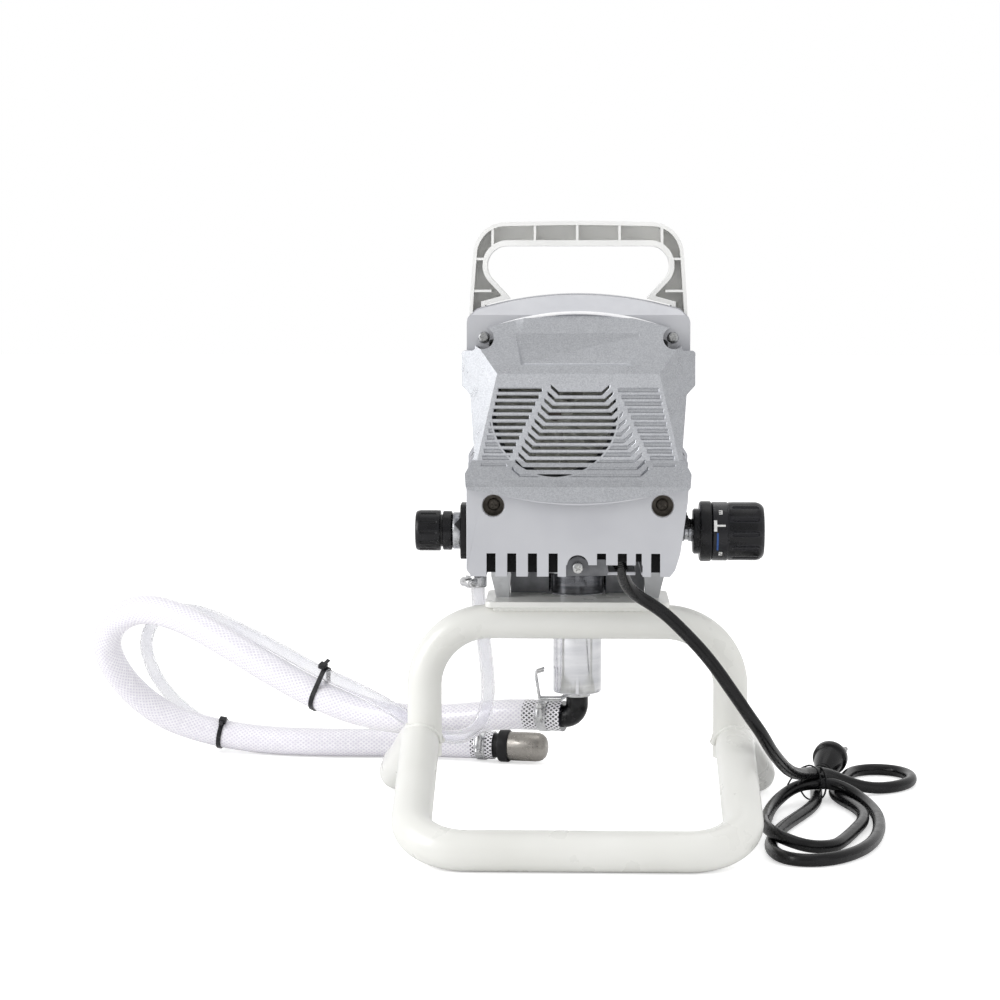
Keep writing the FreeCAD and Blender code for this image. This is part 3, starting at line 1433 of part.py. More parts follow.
def belt(centre_a, radius_a, centre_b, radius_b, axis, width):
    """A solid belt's outline round two parallel round bars."""
    across = centre_b - centre_a
    across = across - axis * across.dot(axis)
    span = across.Length
    unit = across.normalize()
    lean = math.acos((radius_a - radius_b) / span)
    side = axis.cross(unit)
    middle_b = centre_a + unit * span
    corners = []
    for sign in (1, -1):
        outward = unit * math.cos(lean) + side * (sign * math.sin(lean))
        pair = [centre_a + outward * radius_a, middle_b + outward * radius_b]
        corners += pair if sign > 0 else pair[::-1]
    corners.append(corners[0])
    start = axis * (-width / 2)
    bridge = Part.Face(Part.makePolygon([corner + start for corner in corners])).extrude(axis * width)
    ends = [
        rod(radius, centre + start, centre - start)
        for centre, radius in ((centre_a, radius_a), (middle_b, radius_b))
    ]
    return joined(bridge, *ends)


def make_cable_ties():
    ties = []
    for hose_point, tube_point in tie_points:
        here = V(*suction_route[hose_point])
        axis = (V(*suction_route[hose_point + 1]) - V(*suction_route[hose_point - 1])).normalize()
        beside = V(*return_route[tube_point])
        outer = belt(here, suction_radius + 1.5, beside, return_radius + 1.5, axis, 4.0)
        inner = belt(here, suction_radius + 0.2, beside, return_radius + 0.2, axis, 5.0)
        ties.append(outer.cut(inner))
    save("cable_ties", Part.makeCompound(ties))


make_base_tube()
make_hoop_tube()
make_tube_end_plugs()
make_mount_plate()
make_plate_bolts()
make_manifold()
make_pump()
make_piston()
make_drive_yoke()
make_gears()
make_crankshaft()
make_bearings()
make_drive_housing()
make_bearing_plate()
make_housing_bolts()
make_motor()
make_cooling_fan()
make_motor_shroud()
make_lower_shroud()
make_rear_cover()
make_front_cover()
make_shroud_screws()
make_shroud_bracket()
make_handle()
make_prime_valve()
make_drain_barb()
make_pressure_control()
make_outlet_fitting()
make_suction_elbow()
make_hose_clamps()
make_strainer()
make_bucket_hook()
make_power_switch()
make_hoses()
make_cord_coil()
make_power_plug()
make_cord_gland()
make_cable_ties()
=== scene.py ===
import bmesh
import bpy
import math
from mathutils import Matrix, Quaternion, Vector


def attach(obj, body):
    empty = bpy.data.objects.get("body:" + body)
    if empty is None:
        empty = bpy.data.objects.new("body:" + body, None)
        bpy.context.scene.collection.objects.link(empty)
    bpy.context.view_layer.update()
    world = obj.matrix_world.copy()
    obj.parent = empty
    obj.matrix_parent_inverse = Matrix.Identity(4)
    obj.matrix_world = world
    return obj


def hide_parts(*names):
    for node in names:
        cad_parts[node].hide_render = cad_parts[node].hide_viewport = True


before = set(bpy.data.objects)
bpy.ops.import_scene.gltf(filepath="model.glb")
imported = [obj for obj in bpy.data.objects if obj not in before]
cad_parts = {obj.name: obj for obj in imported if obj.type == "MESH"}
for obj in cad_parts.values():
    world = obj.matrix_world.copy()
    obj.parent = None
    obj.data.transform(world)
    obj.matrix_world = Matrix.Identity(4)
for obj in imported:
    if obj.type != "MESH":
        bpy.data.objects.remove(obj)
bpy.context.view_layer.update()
scene = bpy.context.scene

# Studio: a white floor and a white surround, a large soft lamp on the left and weaker ones on the
# right and overhead. The camera stands two metres off at the height of the sprayer's handle.
scene.view_settings.view_transform = "Standard"
camera_place = (-0.0029, -2.0776, 0.4583)
camera_angles = (90 - 5.13, 0.0, 1.69)
camera_lens = 90.9


def swatch(red, green, blue):
    """A colour as matched on a paint chart, 0 to 255, in the renderer's linear values."""
    levels = [level / 255 for level in (red, green, blue)]
    return [level / 12.92 if level < 0.04 else ((level + 0.055) / 1.055) ** 2.4 for level in levels] + [1.0]


camera = bpy.data.objects.new("camera", bpy.data.cameras.new("camera"))
camera.data.lens = camera_lens
camera.data.sensor_width = 36.0
camera.data.clip_start = 0.05
camera.location = camera_place
camera.rotation_euler = [math.radians(angle) for angle in camera_angles]
scene.collection.objects.link(camera)
scene.camera = camera


def lamp(name, place, aim, size, power):
    """A square soft lamp at a place, turned to what it aims at, its size in metres."""
    light = bpy.data.lights.new(name, "AREA")
    light.size = size
    light.energy = power
    holder = bpy.data.objects.new(name, light)
    holder.location = place
    holder.rotation_euler = (Vector(aim) - Vector(place)).to_track_quat("-Z", "Y").to_euler()
    scene.collection.objects.link(holder)
    return holder


lamp("key_lamp", (-2.1, -0.9, 1.1), (0.0, 0.0, 0.25), 1.5, 29.0)
fill_lamp = lamp("fill_lamp", (2.1, -0.6, 0.9), (0.0, 0.0, 0.25), 1.5, 11.0)
fill_lamp.visible_glossy = False
lamp("top_lamp", (0.1, 0.5, 2.3), (0.0, 0.0, 0.2), 1.4, 4.0)


def wired(tree, kind, inputs=None, **settings):
    """A new node with its settings, its inputs given values or linked to the outputs of other nodes."""
    node = tree.nodes.new(kind)
    for setting, value in settings.items():
        setattr(node, setting, value)
    for socket, source in (inputs or {}).items():
        if isinstance(source, bpy.types.NodeSocket):
            tree.links.new(source, node.inputs[socket])
        else:
            node.inputs[socket].default_value = source
    return node


world = bpy.data.worlds.new("white_room")
scene.world = world
world.use_nodes = True
room = world.node_tree
room.nodes.clear()
seen = wired(room, "ShaderNodeLightPath")
seen_straight = {0: seen.outputs["Is Camera Ray"], 1: seen.outputs["Is Transmission Ray"]}
directly = wired(room, "ShaderNodeMath", seen_straight, operation="MAXIMUM")
bearing = wired(room, "ShaderNodeTexCoord")
split = wired(room, "ShaderNodeSeparateXYZ", {0: bearing.outputs["Generated"]})
ahead = wired(room, "ShaderNodeMath", {0: split.outputs["Y"], 1: -1.0}, operation="MULTIPLY")
compass = wired(room, "ShaderNodeMath", {0: split.outputs["X"], 1: ahead.outputs[0]}, operation="ARCTAN2")
full_turn = {"From Min": -math.pi, "From Max": math.pi, "Value": compass.outputs[0]}
turned_share = wired(room, "ShaderNodeMapRange", full_turn)


def grey_ramp(value, stops):
    """A ramp in the room's nodes that turns a value into grey through stops of place and level."""
    ramp = wired(room, "ShaderNodeValToRGB", {"Fac": value})
    while len(ramp.color_ramp.elements) < len(stops):
        ramp.color_ramp.elements.new(0.5)
    for element, (place, level) in zip(ramp.color_ramp.elements, stops):
        element.position = place
        element.color = (level, level, level, 1.0)
    return ramp.outputs["Color"]


# What polished and lacquered pieces mirror: bright walls to the sides and behind, a darker strip at
# the left, the dim side of the room behind the camera, and a dimmer ceiling.
wall_stops = [
    (0.0, 1.0), (0.18, 0.95), (0.2, 0.3), (0.215, 0.3), (0.23, 1.0), (0.35, 1.0), (0.39, 0.8), (0.435, 0.5),
    (0.555, 0.5), (0.575, 0.95), (0.65, 0.95), (0.675, 0.6), (0.78, 0.6), (0.92, 0.7), (1.0, 1.0),
]
walls = grey_ramp(turned_share.outputs[0], wall_stops)
ceiling = grey_ramp(split.outputs["Z"], [(0.0, 0.0), (0.35, 0.0), (0.75, 1.0), (1.0, 1.0)])
ceiling_grey = (0.66, 0.66, 0.66, 1.0)
pure_white = (1.0, 1.0, 1.0, 1.0)
room_blend = {"Factor": ceiling, "A": walls, "B": ceiling_grey}
mirrored = wired(room, "ShaderNodeMix", room_blend, data_type="RGBA")
surround = wired(room, "ShaderNodeBackground", {"Color": mirrored.outputs["Result"]})
lit = wired(room, "ShaderNodeBackground", {"Color": pure_white, "Strength": 0.8})
by_reflection = {"Fac": seen.outputs["Is Glossy Ray"], 1: lit.outputs[0], 2: surround.outputs[0]}
soft_light = wired(room, "ShaderNodeMixShader", by_reflection)
white = wired(room, "ShaderNodeBackground", {"Color": pure_white})
by_sight = {"Fac": directly.outputs[0], 1: soft_light.outputs[0], 2: white.outputs[0]}
choose = wired(room, "ShaderNodeMixShader", by_sight)
wired(room, "ShaderNodeOutputWorld", {"Surface": choose.outputs[0]})


def built(name, points, faces):
    """A new piece in the scene, from its points in metres and its faces."""
    mesh = bpy.data.meshes.new(name)
    mesh.from_pydata(points, [], faces)
    piece = bpy.data.objects.new(name, mesh)
    scene.collection.objects.link(piece)
    return piece


floor = built("floor", [(-9, -6, 0), (9, -6, 0), (9, 12, 0), (-9, 12, 0)], [(0, 1, 2, 3)])
floor_paint = bpy.data.materials.new("white_floor")
floor_paint.use_nodes = True
sheet = floor_paint.node_tree
sheet.nodes.clear()
matt = wired(sheet, "ShaderNodeBsdfDiffuse", {"Color": (0.9, 0.9, 0.9, 1.0)})
glow = wired(sheet, "ShaderNodeEmission", {"Strength": 0.52})
glow_seen = wired(sheet, "ShaderNodeLightPath")
no_glow = wired(sheet, "ShaderNodeEmission", {"Strength": 0.0})
by_camera = {"Fac": glow_seen.outputs["Is Camera Ray"], 1: no_glow.outputs[0], 2: glow.outputs[0]}
glow_choice = wired(sheet, "ShaderNodeMixShader", by_camera)
floor_sum = wired(sheet, "ShaderNodeAddShader", {0: matt.outputs[0], 1: glow_choice.outputs[0]})
wired(sheet, "ShaderNodeOutputMaterial", {"Surface": floor_sum.outputs[0]})
floor.data.materials.append(floor_paint)

# Suction hose: clear soft plastic over a white braid, 26 mm across. It is pushed over the barb of
# the pump's elbow, loops out to the left and ends on the barb of the strainer.
suction_radius = 0.0132
suction_route = [
    (-0.0113, 0.0601, 0.0806), (-0.0530, 0.0753, 0.0806), (-0.0910, 0.0885, 0.0740),
    (-0.1300, 0.1020, 0.0690), (-0.1650, 0.1140, 0.0690), (-0.2000, 0.1280, 0.0740),
    (-0.2380, 0.1430, 0.0870), (-0.2780, 0.1590, 0.1060), (-0.3180, 0.1760, 0.1270),
    (-0.3580, 0.1970, 0.1450), (-0.3980, 0.2210, 0.1520), (-0.4300, 0.2430, 0.1380),
    (-0.4440, 0.2640, 0.1120), (-0.4370, 0.2830, 0.0820), (-0.4170, 0.2970, 0.0540),
    (-0.3890, 0.3050, 0.0330), (-0.3500, 0.3080, 0.0200), (-0.3050, 0.3000, 0.0142),
    (-0.2580, 0.2890, 0.0142), (-0.2120, 0.2870, 0.0142), (-0.1660, 0.2870, 0.0142),
    (-0.1240, 0.2820, 0.0150), (-0.0770, 0.2705, 0.0154),
]


def laid_line(name, route):
    """The smooth line that a cord takes along its route, read from its NURBS spline."""
    curve = bpy.data.curves.new(name, "CURVE")
    curve.dimensions = "3D"
    spline = curve.splines.new("NURBS")
    spline.points.add(len(route) - 1)
    for point, place in zip(spline.points, route):
        point.co = (*place, 1.0)
    spline.order_u = 3
    spline.use_endpoint_u = True
    spline.resolution_u = 10
    holder = bpy.data.objects.new(name, curve)
    scene.collection.objects.link(holder)
    graph = bpy.context.evaluated_depsgraph_get()
    drawn = bpy.data.meshes.new_from_object(holder.evaluated_get(graph))
    line = [vertex.co.copy() for vertex in drawn.vertices]
    bpy.data.objects.remove(holder)
    bpy.data.meshes.remove(drawn)
    return line


def length_of(line):
    """The length of a line of points, in metres."""
    return sum((after - before).length for before, after in zip(line, line[1:]))


def skin(name, line, radius, sides=32, closed=False, capped=True):
    """A round skin along a line of points in metres, with one radius or one for each point."""
    count = len(line)
    radii = radius if isinstance(radius, list) else [radius] * count
    across = None
    points = []
    for k in range(count):
        before = line[k - 1] if k > 0 or closed else line[0]
        after = line[(k + 1) % count] if k < count - 1 or closed else line[-1]
        ahead = (after - before).normalized()
        across = ahead.orthogonal() if across is None else across
        across = (across - ahead * across.dot(ahead)).normalized()
        beside = ahead.cross(across)
        for s in range(sides):
            angle = 2 * math.pi * s / sides
            points.append(line[k] + (across * math.cos(angle) + beside * math.sin(angle)) * radii[k])
    faces = []
    spread = []
    travelled = 0.0
    for k in range(count if closed else count - 1):
        step = (line[(k + 1) % count] - line[k]).length
        for s in range(sides):
            here = k * sides
            there = ((k + 1) % count) * sides
            following = (s + 1) % sides
            faces.append((here + s, here + following, there + following, there + s))
            u0, u1 = s / sides, (s + 1) / sides
            spread += [(u0, travelled), (u1, travelled), (u1, travelled + step), (u0, travelled + step)]
        travelled += step
    if capped and not closed:
        faces.append(tuple(reversed(range(sides))))
        faces.append(tuple(range((count - 1) * sides, count * sides)))
        spread += [(0.0, 0.0)] * sides + [(0.0, travelled)] * sides
    piece = built(name, points, faces)
    layer = piece.data.uv_layers.new(name="along")
    for loop, place in zip(layer.data, spread):
        loop.uv = place
    piece.data.shade_smooth()
    piece.data.set_sharp_from_angle(angle=math.radians(50))
    return piece


def finish(name, colour, roughness, metallic=0.0):
    """A new surface finish, before its grain and wear."""
    surface = bpy.data.materials.new(name)
    surface.use_nodes = True
    shader = surface.node_tree.nodes["Principled BSDF"]
    shader.inputs["Base Color"].default_value = colour
    shader.inputs["Roughness"].default_value = roughness
    shader.inputs["Metallic"].default_value = metallic
    return surface


def shader_of(surface):
    """The one shader node that a finish is built on."""
    return surface.node_tree.nodes["Principled BSDF"]


def grain(surface, size, stretch=(1, 1, 1), detail=4.0):
    """A noise whose lumps are about one size in metres, stretched along the piece's own axes."""
    tree = surface.node_tree
    where = wired(tree, "ShaderNodeTexCoord")
    scaled = wired(tree, "ShaderNodeMapping", {"Scale": stretch, "Vector": where.outputs["Object"]})
    lumps = {"Scale": 1.0 / size, "Detail": detail, "Vector": scaled.outputs["Vector"]}
    return wired(tree, "ShaderNodeTexNoise", lumps).outputs["Fac"]


def ramped(surface, value, low, high, start=0.3, stop=0.7):
    """Turns a value between two limits into a blend of two colours or two numbers."""
    ramp = wired(surface.node_tree, "ShaderNodeValToRGB", {"Fac": value})
    for element, place, level in zip(ramp.color_ramp.elements, (start, stop), (low, high)):
        element.position = place
        element.color = [level] * 3 + [1.0] if isinstance(level, float) else level
    return ramp.outputs["Color"]


def mottle(surface, socket, low, high, size, stretch=(1, 1, 1), detail=4.0):
    """Lets a noise move one of the shader's values between two limits."""
    value = ramped(surface, grain(surface, size, stretch, detail), low, high)
    surface.node_tree.links.new(value, shader_of(surface).inputs[socket])


def relief(surface, height, depth, strength=1.0):
    """Raises the surface by a height map, on top of any relief that it has."""
    tree = surface.node_tree
    bump = wired(tree, "ShaderNodeBump", {"Distance": depth, "Strength": strength, "Height": height})
    normal = shader_of(surface).inputs["Normal"]
    if normal.links:
        tree.links.new(normal.links[0].from_socket, bump.inputs["Normal"])
    tree.links.new(bump.outputs["Normal"], normal)


def worn_edges(surface, edge_colour, amount):
    """Lightens the raised edges of a mottled finish, where hands and cloths rub the surface."""
    tree = surface.node_tree
    shape = wired(tree, "ShaderNodeNewGeometry")
    rubbed = ramped(surface, shape.outputs["Pointiness"], 0.0, 1.0, 0.52, 0.62)
    share = step_in(surface, "MULTIPLY", rubbed, amount)
    base = shader_of(surface).inputs["Base Color"]
    shades = {"A": base.links[0].from_socket, "B": edge_colour, "Factor": share}
    blend = wired(tree, "ShaderNodeMix", shades, data_type="RGBA")
    tree.links.new(blend.outputs["Result"], base)


def step_in(surface, operation, first, second):
    """One step of arithmetic between two values of a finish."""
    step = wired(surface.node_tree, "ShaderNodeMath", {0: first, 1: second}, operation=operation)
    return step.outputs[0]


def fitted(piece, surface, nodes=(), body="sprayer"):
    """Gives a finished piece its surface and its body, and hides the CAD nodes that it stands for."""
    piece.data.materials.clear()
    piece.data.materials.append(surface)
    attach(piece, body)
    for node in nodes:
        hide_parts(node)
    return piece


suction_line = laid_line("suction_line", suction_route)
suction_length = length_of(suction_line)
braid = finish("braided_clear_hose", swatch(225, 225, 232), 0.22)
braid_tree = braid.node_tree
unrolled = wired(braid_tree, "ShaderNodeUVMap", uv_map="along")
parts_of_uv = wired(braid_tree, "ShaderNodeSeparateXYZ", {0: unrolled.outputs["UV"]})
around, along = parts_of_uv.outputs["X"], parts_of_uv.outputs["Y"]
yarns = []
for direction in (1, -1):
    turns = step_in(braid, "MULTIPLY", around, 22.0)
    advance = step_in(braid, "MULTIPLY", along, direction * 205.0)
    phase = step_in(braid, "FRACT", step_in(braid, "ADD", turns, advance), 0.0)
    away = step_in(braid, "ABSOLUTE", step_in(braid, "SUBTRACT", phase, 0.5), 0.0)
    yarns.append(ramped(braid, away, 1.0, 0.0, 0.14, 0.27))
covered = step_in(braid, "MAXIMUM", yarns[0], yarns[1])
on_elbow = step_in(braid, "LESS_THAN", along, 0.034)
on_strainer = step_in(braid, "GREATER_THAN", along, suction_length - 0.021)
over_barb = step_in(braid, "ADD", on_elbow, on_strainer)
gap = ramped(braid, over_barb, swatch(222, 218, 229), swatch(30, 30, 42), 0.4, 0.6)
yarn_shade = ramped(braid, grain(braid, 0.004), swatch(236, 234, 240), swatch(250, 249, 252))
weave = wired(braid_tree, "ShaderNodeMix", {"Factor": covered, "A": gap, "B": yarn_shade}, data_type="RGBA")
braid_tree.links.new(weave.outputs["Result"], shader_of(braid).inputs["Base Color"])
shader_of(braid).inputs["Coat Weight"].default_value = 0.9
shader_of(braid).inputs["Coat Roughness"].default_value = 0.1
shader_of(braid).inputs["Subsurface Weight"].default_value = 0.1
shader_of(braid).inputs["Subsurface Radius"].default_value = (0.004, 0.004, 0.004)
relief(braid, covered, 0.0003, 0.35)
relief(braid, grain(braid, 0.006), 0.0002, 0.4)
suction_piece = skin("hose_suction", suction_line, suction_radius, sides=40)
fitted(suction_piece, braid, ["suction_hose"])

# Return tube: a thinner milky tube, 12 mm across. It is clamped on the drain barb under the prime
# valve, is tied to the suction hose in two places and hangs its open end beside the strainer.
return_radius = 0.0060
return_bore = 0.0044
return_route = [
    (-0.0840, 0.0280, 0.2235), (-0.0840, 0.0280, 0.2000), (-0.0825, 0.0292, 0.1780),
    (-0.0790, 0.0310, 0.1520), (-0.0760, 0.0340, 0.1260), (-0.0750, 0.0400, 0.1010),
    (-0.0800, 0.0490, 0.0780), (-0.0950, 0.0610, 0.0620), (-0.1170, 0.0710, 0.0600),
    (-0.1380, 0.0800, 0.0680), (-0.1600, 0.0920, 0.0810), (-0.1930, 0.1160, 0.0940),
    (-0.2310, 0.1400, 0.1055), (-0.2680, 0.1600, 0.1230), (-0.3020, 0.1820, 0.1355),
    (-0.3360, 0.2040, 0.1480), (-0.3680, 0.2290, 0.1500), (-0.3940, 0.2530, 0.1380),
    (-0.4080, 0.2760, 0.1140), (-0.4080, 0.2970, 0.0890), (-0.3980, 0.3160, 0.0610),
    (-0.3770, 0.3250, 0.0370), (-0.3494, 0.3278, 0.0176), (-0.3180, 0.3280, 0.0086),
    (-0.2880, 0.3250, 0.0066), (-0.2600, 0.3220, 0.0066),
]
return_line = laid_line("return_line", return_route)
milky = finish("milky_clear_tube", swatch(252, 252, 254), 0.12)
shader_of(milky).inputs["Transmission Weight"].default_value = 0.9
shader_of(milky).inputs["IOR"].default_value = 1.1
mottle(milky, "Base Color", swatch(250, 250, 253), swatch(254, 254, 255), 0.02, (1, 1, 1), 2.0)
mottle(milky, "Roughness", 0.12, 0.26, 0.008)
relief(milky, grain(milky, 0.01), 0.0002, 0.3)
tube_sides = 28
return_piece = skin("tube_return", return_line, return_radius, sides=tube_sides, capped=False)
bore_piece = skin("tube_return_bore", return_line, return_bore, sides=tube_sides, capped=False)
bore_mesh = bmesh.new()
bore_mesh.from_mesh(return_piece.data)
skin_count = len(bore_mesh.verts)
bore_mesh.from_mesh(bore_piece.data)
bore_faces = [face for face in bore_mesh.faces if face.verts[0].index >= skin_count]
bmesh.ops.reverse_faces(bore_mesh, faces=bore_faces)
bore_mesh.verts.ensure_lookup_table()
for start in (0, skin_count - tube_sides):
    for s in range(tube_sides):
        following = (s + 1) % tube_sides
        corners = [start + s, start + following, start + skin_count + following, start + skin_count + s]
        bore_mesh.faces.new([bore_mesh.verts[k] for k in corners])
bmesh.ops.recalc_face_normals(bore_mesh, faces=bore_mesh.faces)
bore_mesh.to_mesh(return_piece.data)
bore_mesh.free()
return_piece.data.shade_smooth()
bpy.data.objects.remove(bore_piece)
fitted(return_piece, milky, ["return_tube"])

# Power cord: a black rubber mains lead, 10.4 mm across. It comes out of the shroud through a sleeve,
# drops over the hoop to the floor, is laid up there in a loose hank and ends in a two-pin plug.
cord_radius = 0.0052
cord_route = [
    (0.0330, -0.1120, 0.2330), (0.0350, -0.0980, 0.2215), (0.0400, -0.0840, 0.2100),
    (0.0490, -0.0740, 0.2010), (0.0600, -0.0690, 0.1940), (0.0720, -0.0680, 0.1850),
    (0.0830, -0.0690, 0.1745), (0.0930, -0.0705, 0.1645), (0.1025, -0.0715, 0.1540),
    (0.1120, -0.0720, 0.1420), (0.1210, -0.0715, 0.1290), (0.1300, -0.0700, 0.1160),
    (0.1390, -0.0665, 0.1025), (0.1490, -0.0585, 0.0880), (0.1570, -0.0440, 0.0730),
    (0.1660, -0.0200, 0.0590), (0.1750, 0.0100, 0.0460), (0.1840, 0.0420, 0.0360),
    (0.1920, 0.0680, 0.0300), (0.2030, 0.0920, 0.0264), (0.2170, 0.1080, 0.0230),
    # the loop behind the waist of the hank
    (0.2310, 0.1170, 0.0160), (0.2460, 0.1220, 0.0095), (0.2620, 0.1260, 0.0060),
    (0.2810, 0.1350, 0.0054), (0.2980, 0.1560, 0.0054), (0.3028, 0.1850, 0.0054),
    (0.2945, 0.2075, 0.0054), (0.2740, 0.2170, 0.0054), (0.2535, 0.2075, 0.0054),
    (0.2440, 0.1850, 0.0054), (0.2368, 0.1540, 0.0054), (0.2290, 0.1300, 0.0054),
    (0.2245, 0.1060, 0.0054),
    # the inner turn of the hank, down its right side and back up its left side
    (0.2290, 0.0800, 0.0054), (0.2370, 0.0520, 0.0054), (0.2410, 0.0230, 0.0054),
    (0.2370, -0.0090, 0.0054), (0.2260, -0.0430, 0.0054), (0.2150, -0.0750, 0.0054),
    (0.2040, -0.1010, 0.0056), (0.1820, -0.1140, 0.0080), (0.1600, -0.1050, 0.0140),
    (0.1515, -0.0810, 0.0162), (0.1520, -0.0500, 0.0150), (0.1560, -0.0180, 0.0080),
    (0.1600, 0.0160, 0.0056), (0.1660, 0.0480, 0.0056), (0.1760, 0.0740, 0.0090),
    # the outer turn, over the waist and round the outside
    (0.1900, 0.0900, 0.0148), (0.2060, 0.0970, 0.0162), (0.2220, 0.0970, 0.0162),
    (0.2360, 0.0890, 0.0120), (0.2465, 0.0700, 0.0072), (0.2515, 0.0400, 0.0054),
    (0.2520, 0.0060, 0.0054), (0.2470, -0.0400, 0.0054), (0.2370, -0.0840, 0.0054),
    (0.2210, -0.1190, 0.0054), (0.1990, -0.1440, 0.0054), (0.1760, -0.1500, 0.0054),
    (0.1600, -0.1390, 0.0054), (0.1535, -0.1160, 0.0054), (0.1545, -0.0880, 0.0054),
    (0.1610, -0.0560, 0.0054), (0.1720, -0.0220, 0.0054), (0.1860, 0.0120, 0.0054),
    (0.1985, 0.0440, 0.0054), (0.2065, 0.0740, 0.0054),
    # the end that runs to the plug
    (0.2095, 0.1065, 0.0054), (0.2110, 0.1240, 0.0054), (0.2120, 0.1420, 0.0054),
    (0.2145, 0.1570, 0.0055), (0.2191, 0.1720, 0.0065), (0.2230, 0.1840, 0.0095),
]
cord_line = laid_line("cord_line", cord_route)
rubber = finish("black_rubber", swatch(14, 14, 15), 0.24)
mottle(rubber, "Base Color", swatch(10, 10, 11), swatch(19, 19, 21), 0.012)
mottle(rubber, "Roughness", 0.18, 0.32, 0.006)
relief(rubber, grain(rubber, 0.0012), 0.00008, 0.4)
shader_of(rubber).inputs["Specular IOR Level"].default_value = 0.34
cord_piece = skin("cord_power", cord_line, cord_radius, sides=24)
fitted(cord_piece, rubber, ["power_cord", "cord_coil", "cord_tail"])

# Plug: black rubber moulded over two steel pins and the cord's end, with a ringed strain relief. It
# lies on the floor with its face away.
plug_entry = Vector((0.2230, 0.1840, 0.0095))
plug_axis = Vector((0.30, 0.925, 0.235)).normalized()
# one millimetre in metres, and the directions of width, depth and height
mm = 0.001
width_axis = (1, 0, 0)
depth_axis = (0, 1, 0)
up_axis = (0, 0, 1)


def faced_outward(piece, weld=0.0):
    """Turns every face outward, after welding the points that lie closer than a distance in metres."""
    body = bmesh.new()
    body.from_mesh(piece.data)
    if weld:
        bmesh.ops.remove_doubles(body, verts=body.verts, dist=weld)
    bmesh.ops.recalc_face_normals(body, faces=body.faces)
    body.to_mesh(piece.data)
    body.free()
    return piece


def turned(name, profile, base, axis, sides=72):
    """A turned piece from points (radius, height) in millimetres, heights along its axis."""
    turn = Vector(axis).normalized().to_track_quat("Z", "Y")
    points = []
    rings = []
    for radius, height in profile:
        if radius < 1e-6:
            rings.append([len(points)])
            points.append(Vector((0, 0, height * mm)))
            continue
        rings.append(list(range(len(points), len(points) + sides)))
        for s in range(sides):
            angle = 2 * math.pi * s / sides
            points.append(Vector((radius * math.cos(angle), radius * math.sin(angle), height)) * mm)
    faces = []
    for low, high in zip(rings, rings[1:]):
        for s in range(sides):
            following = (s + 1) % sides
            corners = [low[s % len(low)], low[following % len(low)]]
            corners += [high[following % len(high)], high[s % len(high)]]
            corners = list(dict.fromkeys(corners))
            if len(corners) > 2:
                faces.append(corners)
    piece = built(name, [Vector(base) + turn @ point for point in points], faces)
    faced_outward(piece, 1e-7)
    piece.data.shade_smooth()
    piece.data.set_sharp_from_angle(angle=math.radians(32))
    return piece


def rod(name, radius, span, base, axis, sides=72):
    """A plain round bar between two heights along its axis, in millimetres."""
    low, high = span
    return turned(name, [(0, low), (radius, low), (radius, high), (0, high)], base, axis, sides)


def settle(piece):
    """Applies a piece's modifiers to its mesh."""
    graph = bpy.context.evaluated_depsgraph_get()
    shaped = bpy.data.meshes.new_from_object(piece.evaluated_get(graph))
    piece.modifiers.clear()
    piece.data = shaped


def soften(piece, width, steps=2, angle=32):
    """Rounds the sharp edges by a width in millimetres and shades the rest smooth."""
    rounding = piece.modifiers.new("rounding", "BEVEL")
    rounding.width = width * mm
    rounding.segments = steps
    rounding.limit_method = "ANGLE"
    rounding.angle_limit = math.radians(angle)
    rounding.harden_normals = False
    settle(piece)
    piece.data.shade_smooth()
    piece.data.set_sharp_from_angle(angle=math.radians(38))
    return flat_panels(piece)


def flat_panels(piece):
    """Keeps the large flat faces with many corners flat, so that no shading runs across them."""
    for face in piece.data.polygons:
        facing = face.area > 0.00002 and abs(face.normal.y) > 0.999
        if facing or (len(face.vertices) > 7 and face.area > 0.0003):
            face.use_smooth = False
    return piece


def joined(pieces):
    """Puts the meshes of several pieces into the first of them."""
    whole = bmesh.new()
    for piece in pieces:
        whole.from_mesh(piece.data)
    whole.to_mesh(pieces[0].data)
    whole.free()
    for piece in pieces[1:]:
        bpy.data.objects.remove(piece)
    return pieces[0]


def carve(piece, cutters, how="DIFFERENCE"):
    """Cuts, adds or keeps what is shared with other pieces, which are used up."""
    for cutter in cutters:
        change = piece.modifiers.new("carve", "BOOLEAN")
        change.operation = how
        change.solver = "EXACT"
        change.object = cutter
    settle(piece)
    for cutter in cutters:
        bpy.data.objects.remove(cutter)
    return piece


plug_body = turned(
    "plug_body",
    [(5.6, -14), (6.0, -2), (7.0, 0), (9.5, 8), (12.6, 18), (13.2, 25), (15.4, 26), (15.8, 27.5),
     (15.8, 32.5), (15.0, 34), (0, 34)],
    plug_entry,
    plug_axis,
)
plug_rings = [
    turned(f"plug_ring_{k}", [(6.0, 0), (6.6 + 0.4 * k, 0.5), (6.6 + 0.4 * k, 1.7), (6.0, 2.2)],
           plug_entry + plug_axis * mm * (-11 + 3.6 * k), plug_axis, 48)
    for k in range(4)
]
plug_body = soften(joined([plug_body] + plug_rings), 0.5)
fitted(plug_body, rubber, ["power_plug"])
plated = finish("plated_steel", swatch(206, 206, 208), 0.24, 1.0)
mottle(plated, "Roughness", 0.16, 0.34, 0.004)
mottle(plated, "Base Color", swatch(190, 190, 192), swatch(222, 221, 220), 0.01)
relief(plated, grain(plated, 0.0009), 0.00003, 0.4)
plug_side = plug_axis.cross(Vector((0, 0, 1))).normalized()
plug_pins = []
for side in (-1, 1):
    root = plug_entry + plug_axis * 0.034 + plug_side * (0.0095 * side)
    pin_profile = [(2.4, -2), (2.4, 17.6), (1.6, 19), (0, 19)]
    plug_pins.append(turned(f"plug_pin_{side}", pin_profile, root, plug_axis, 32))
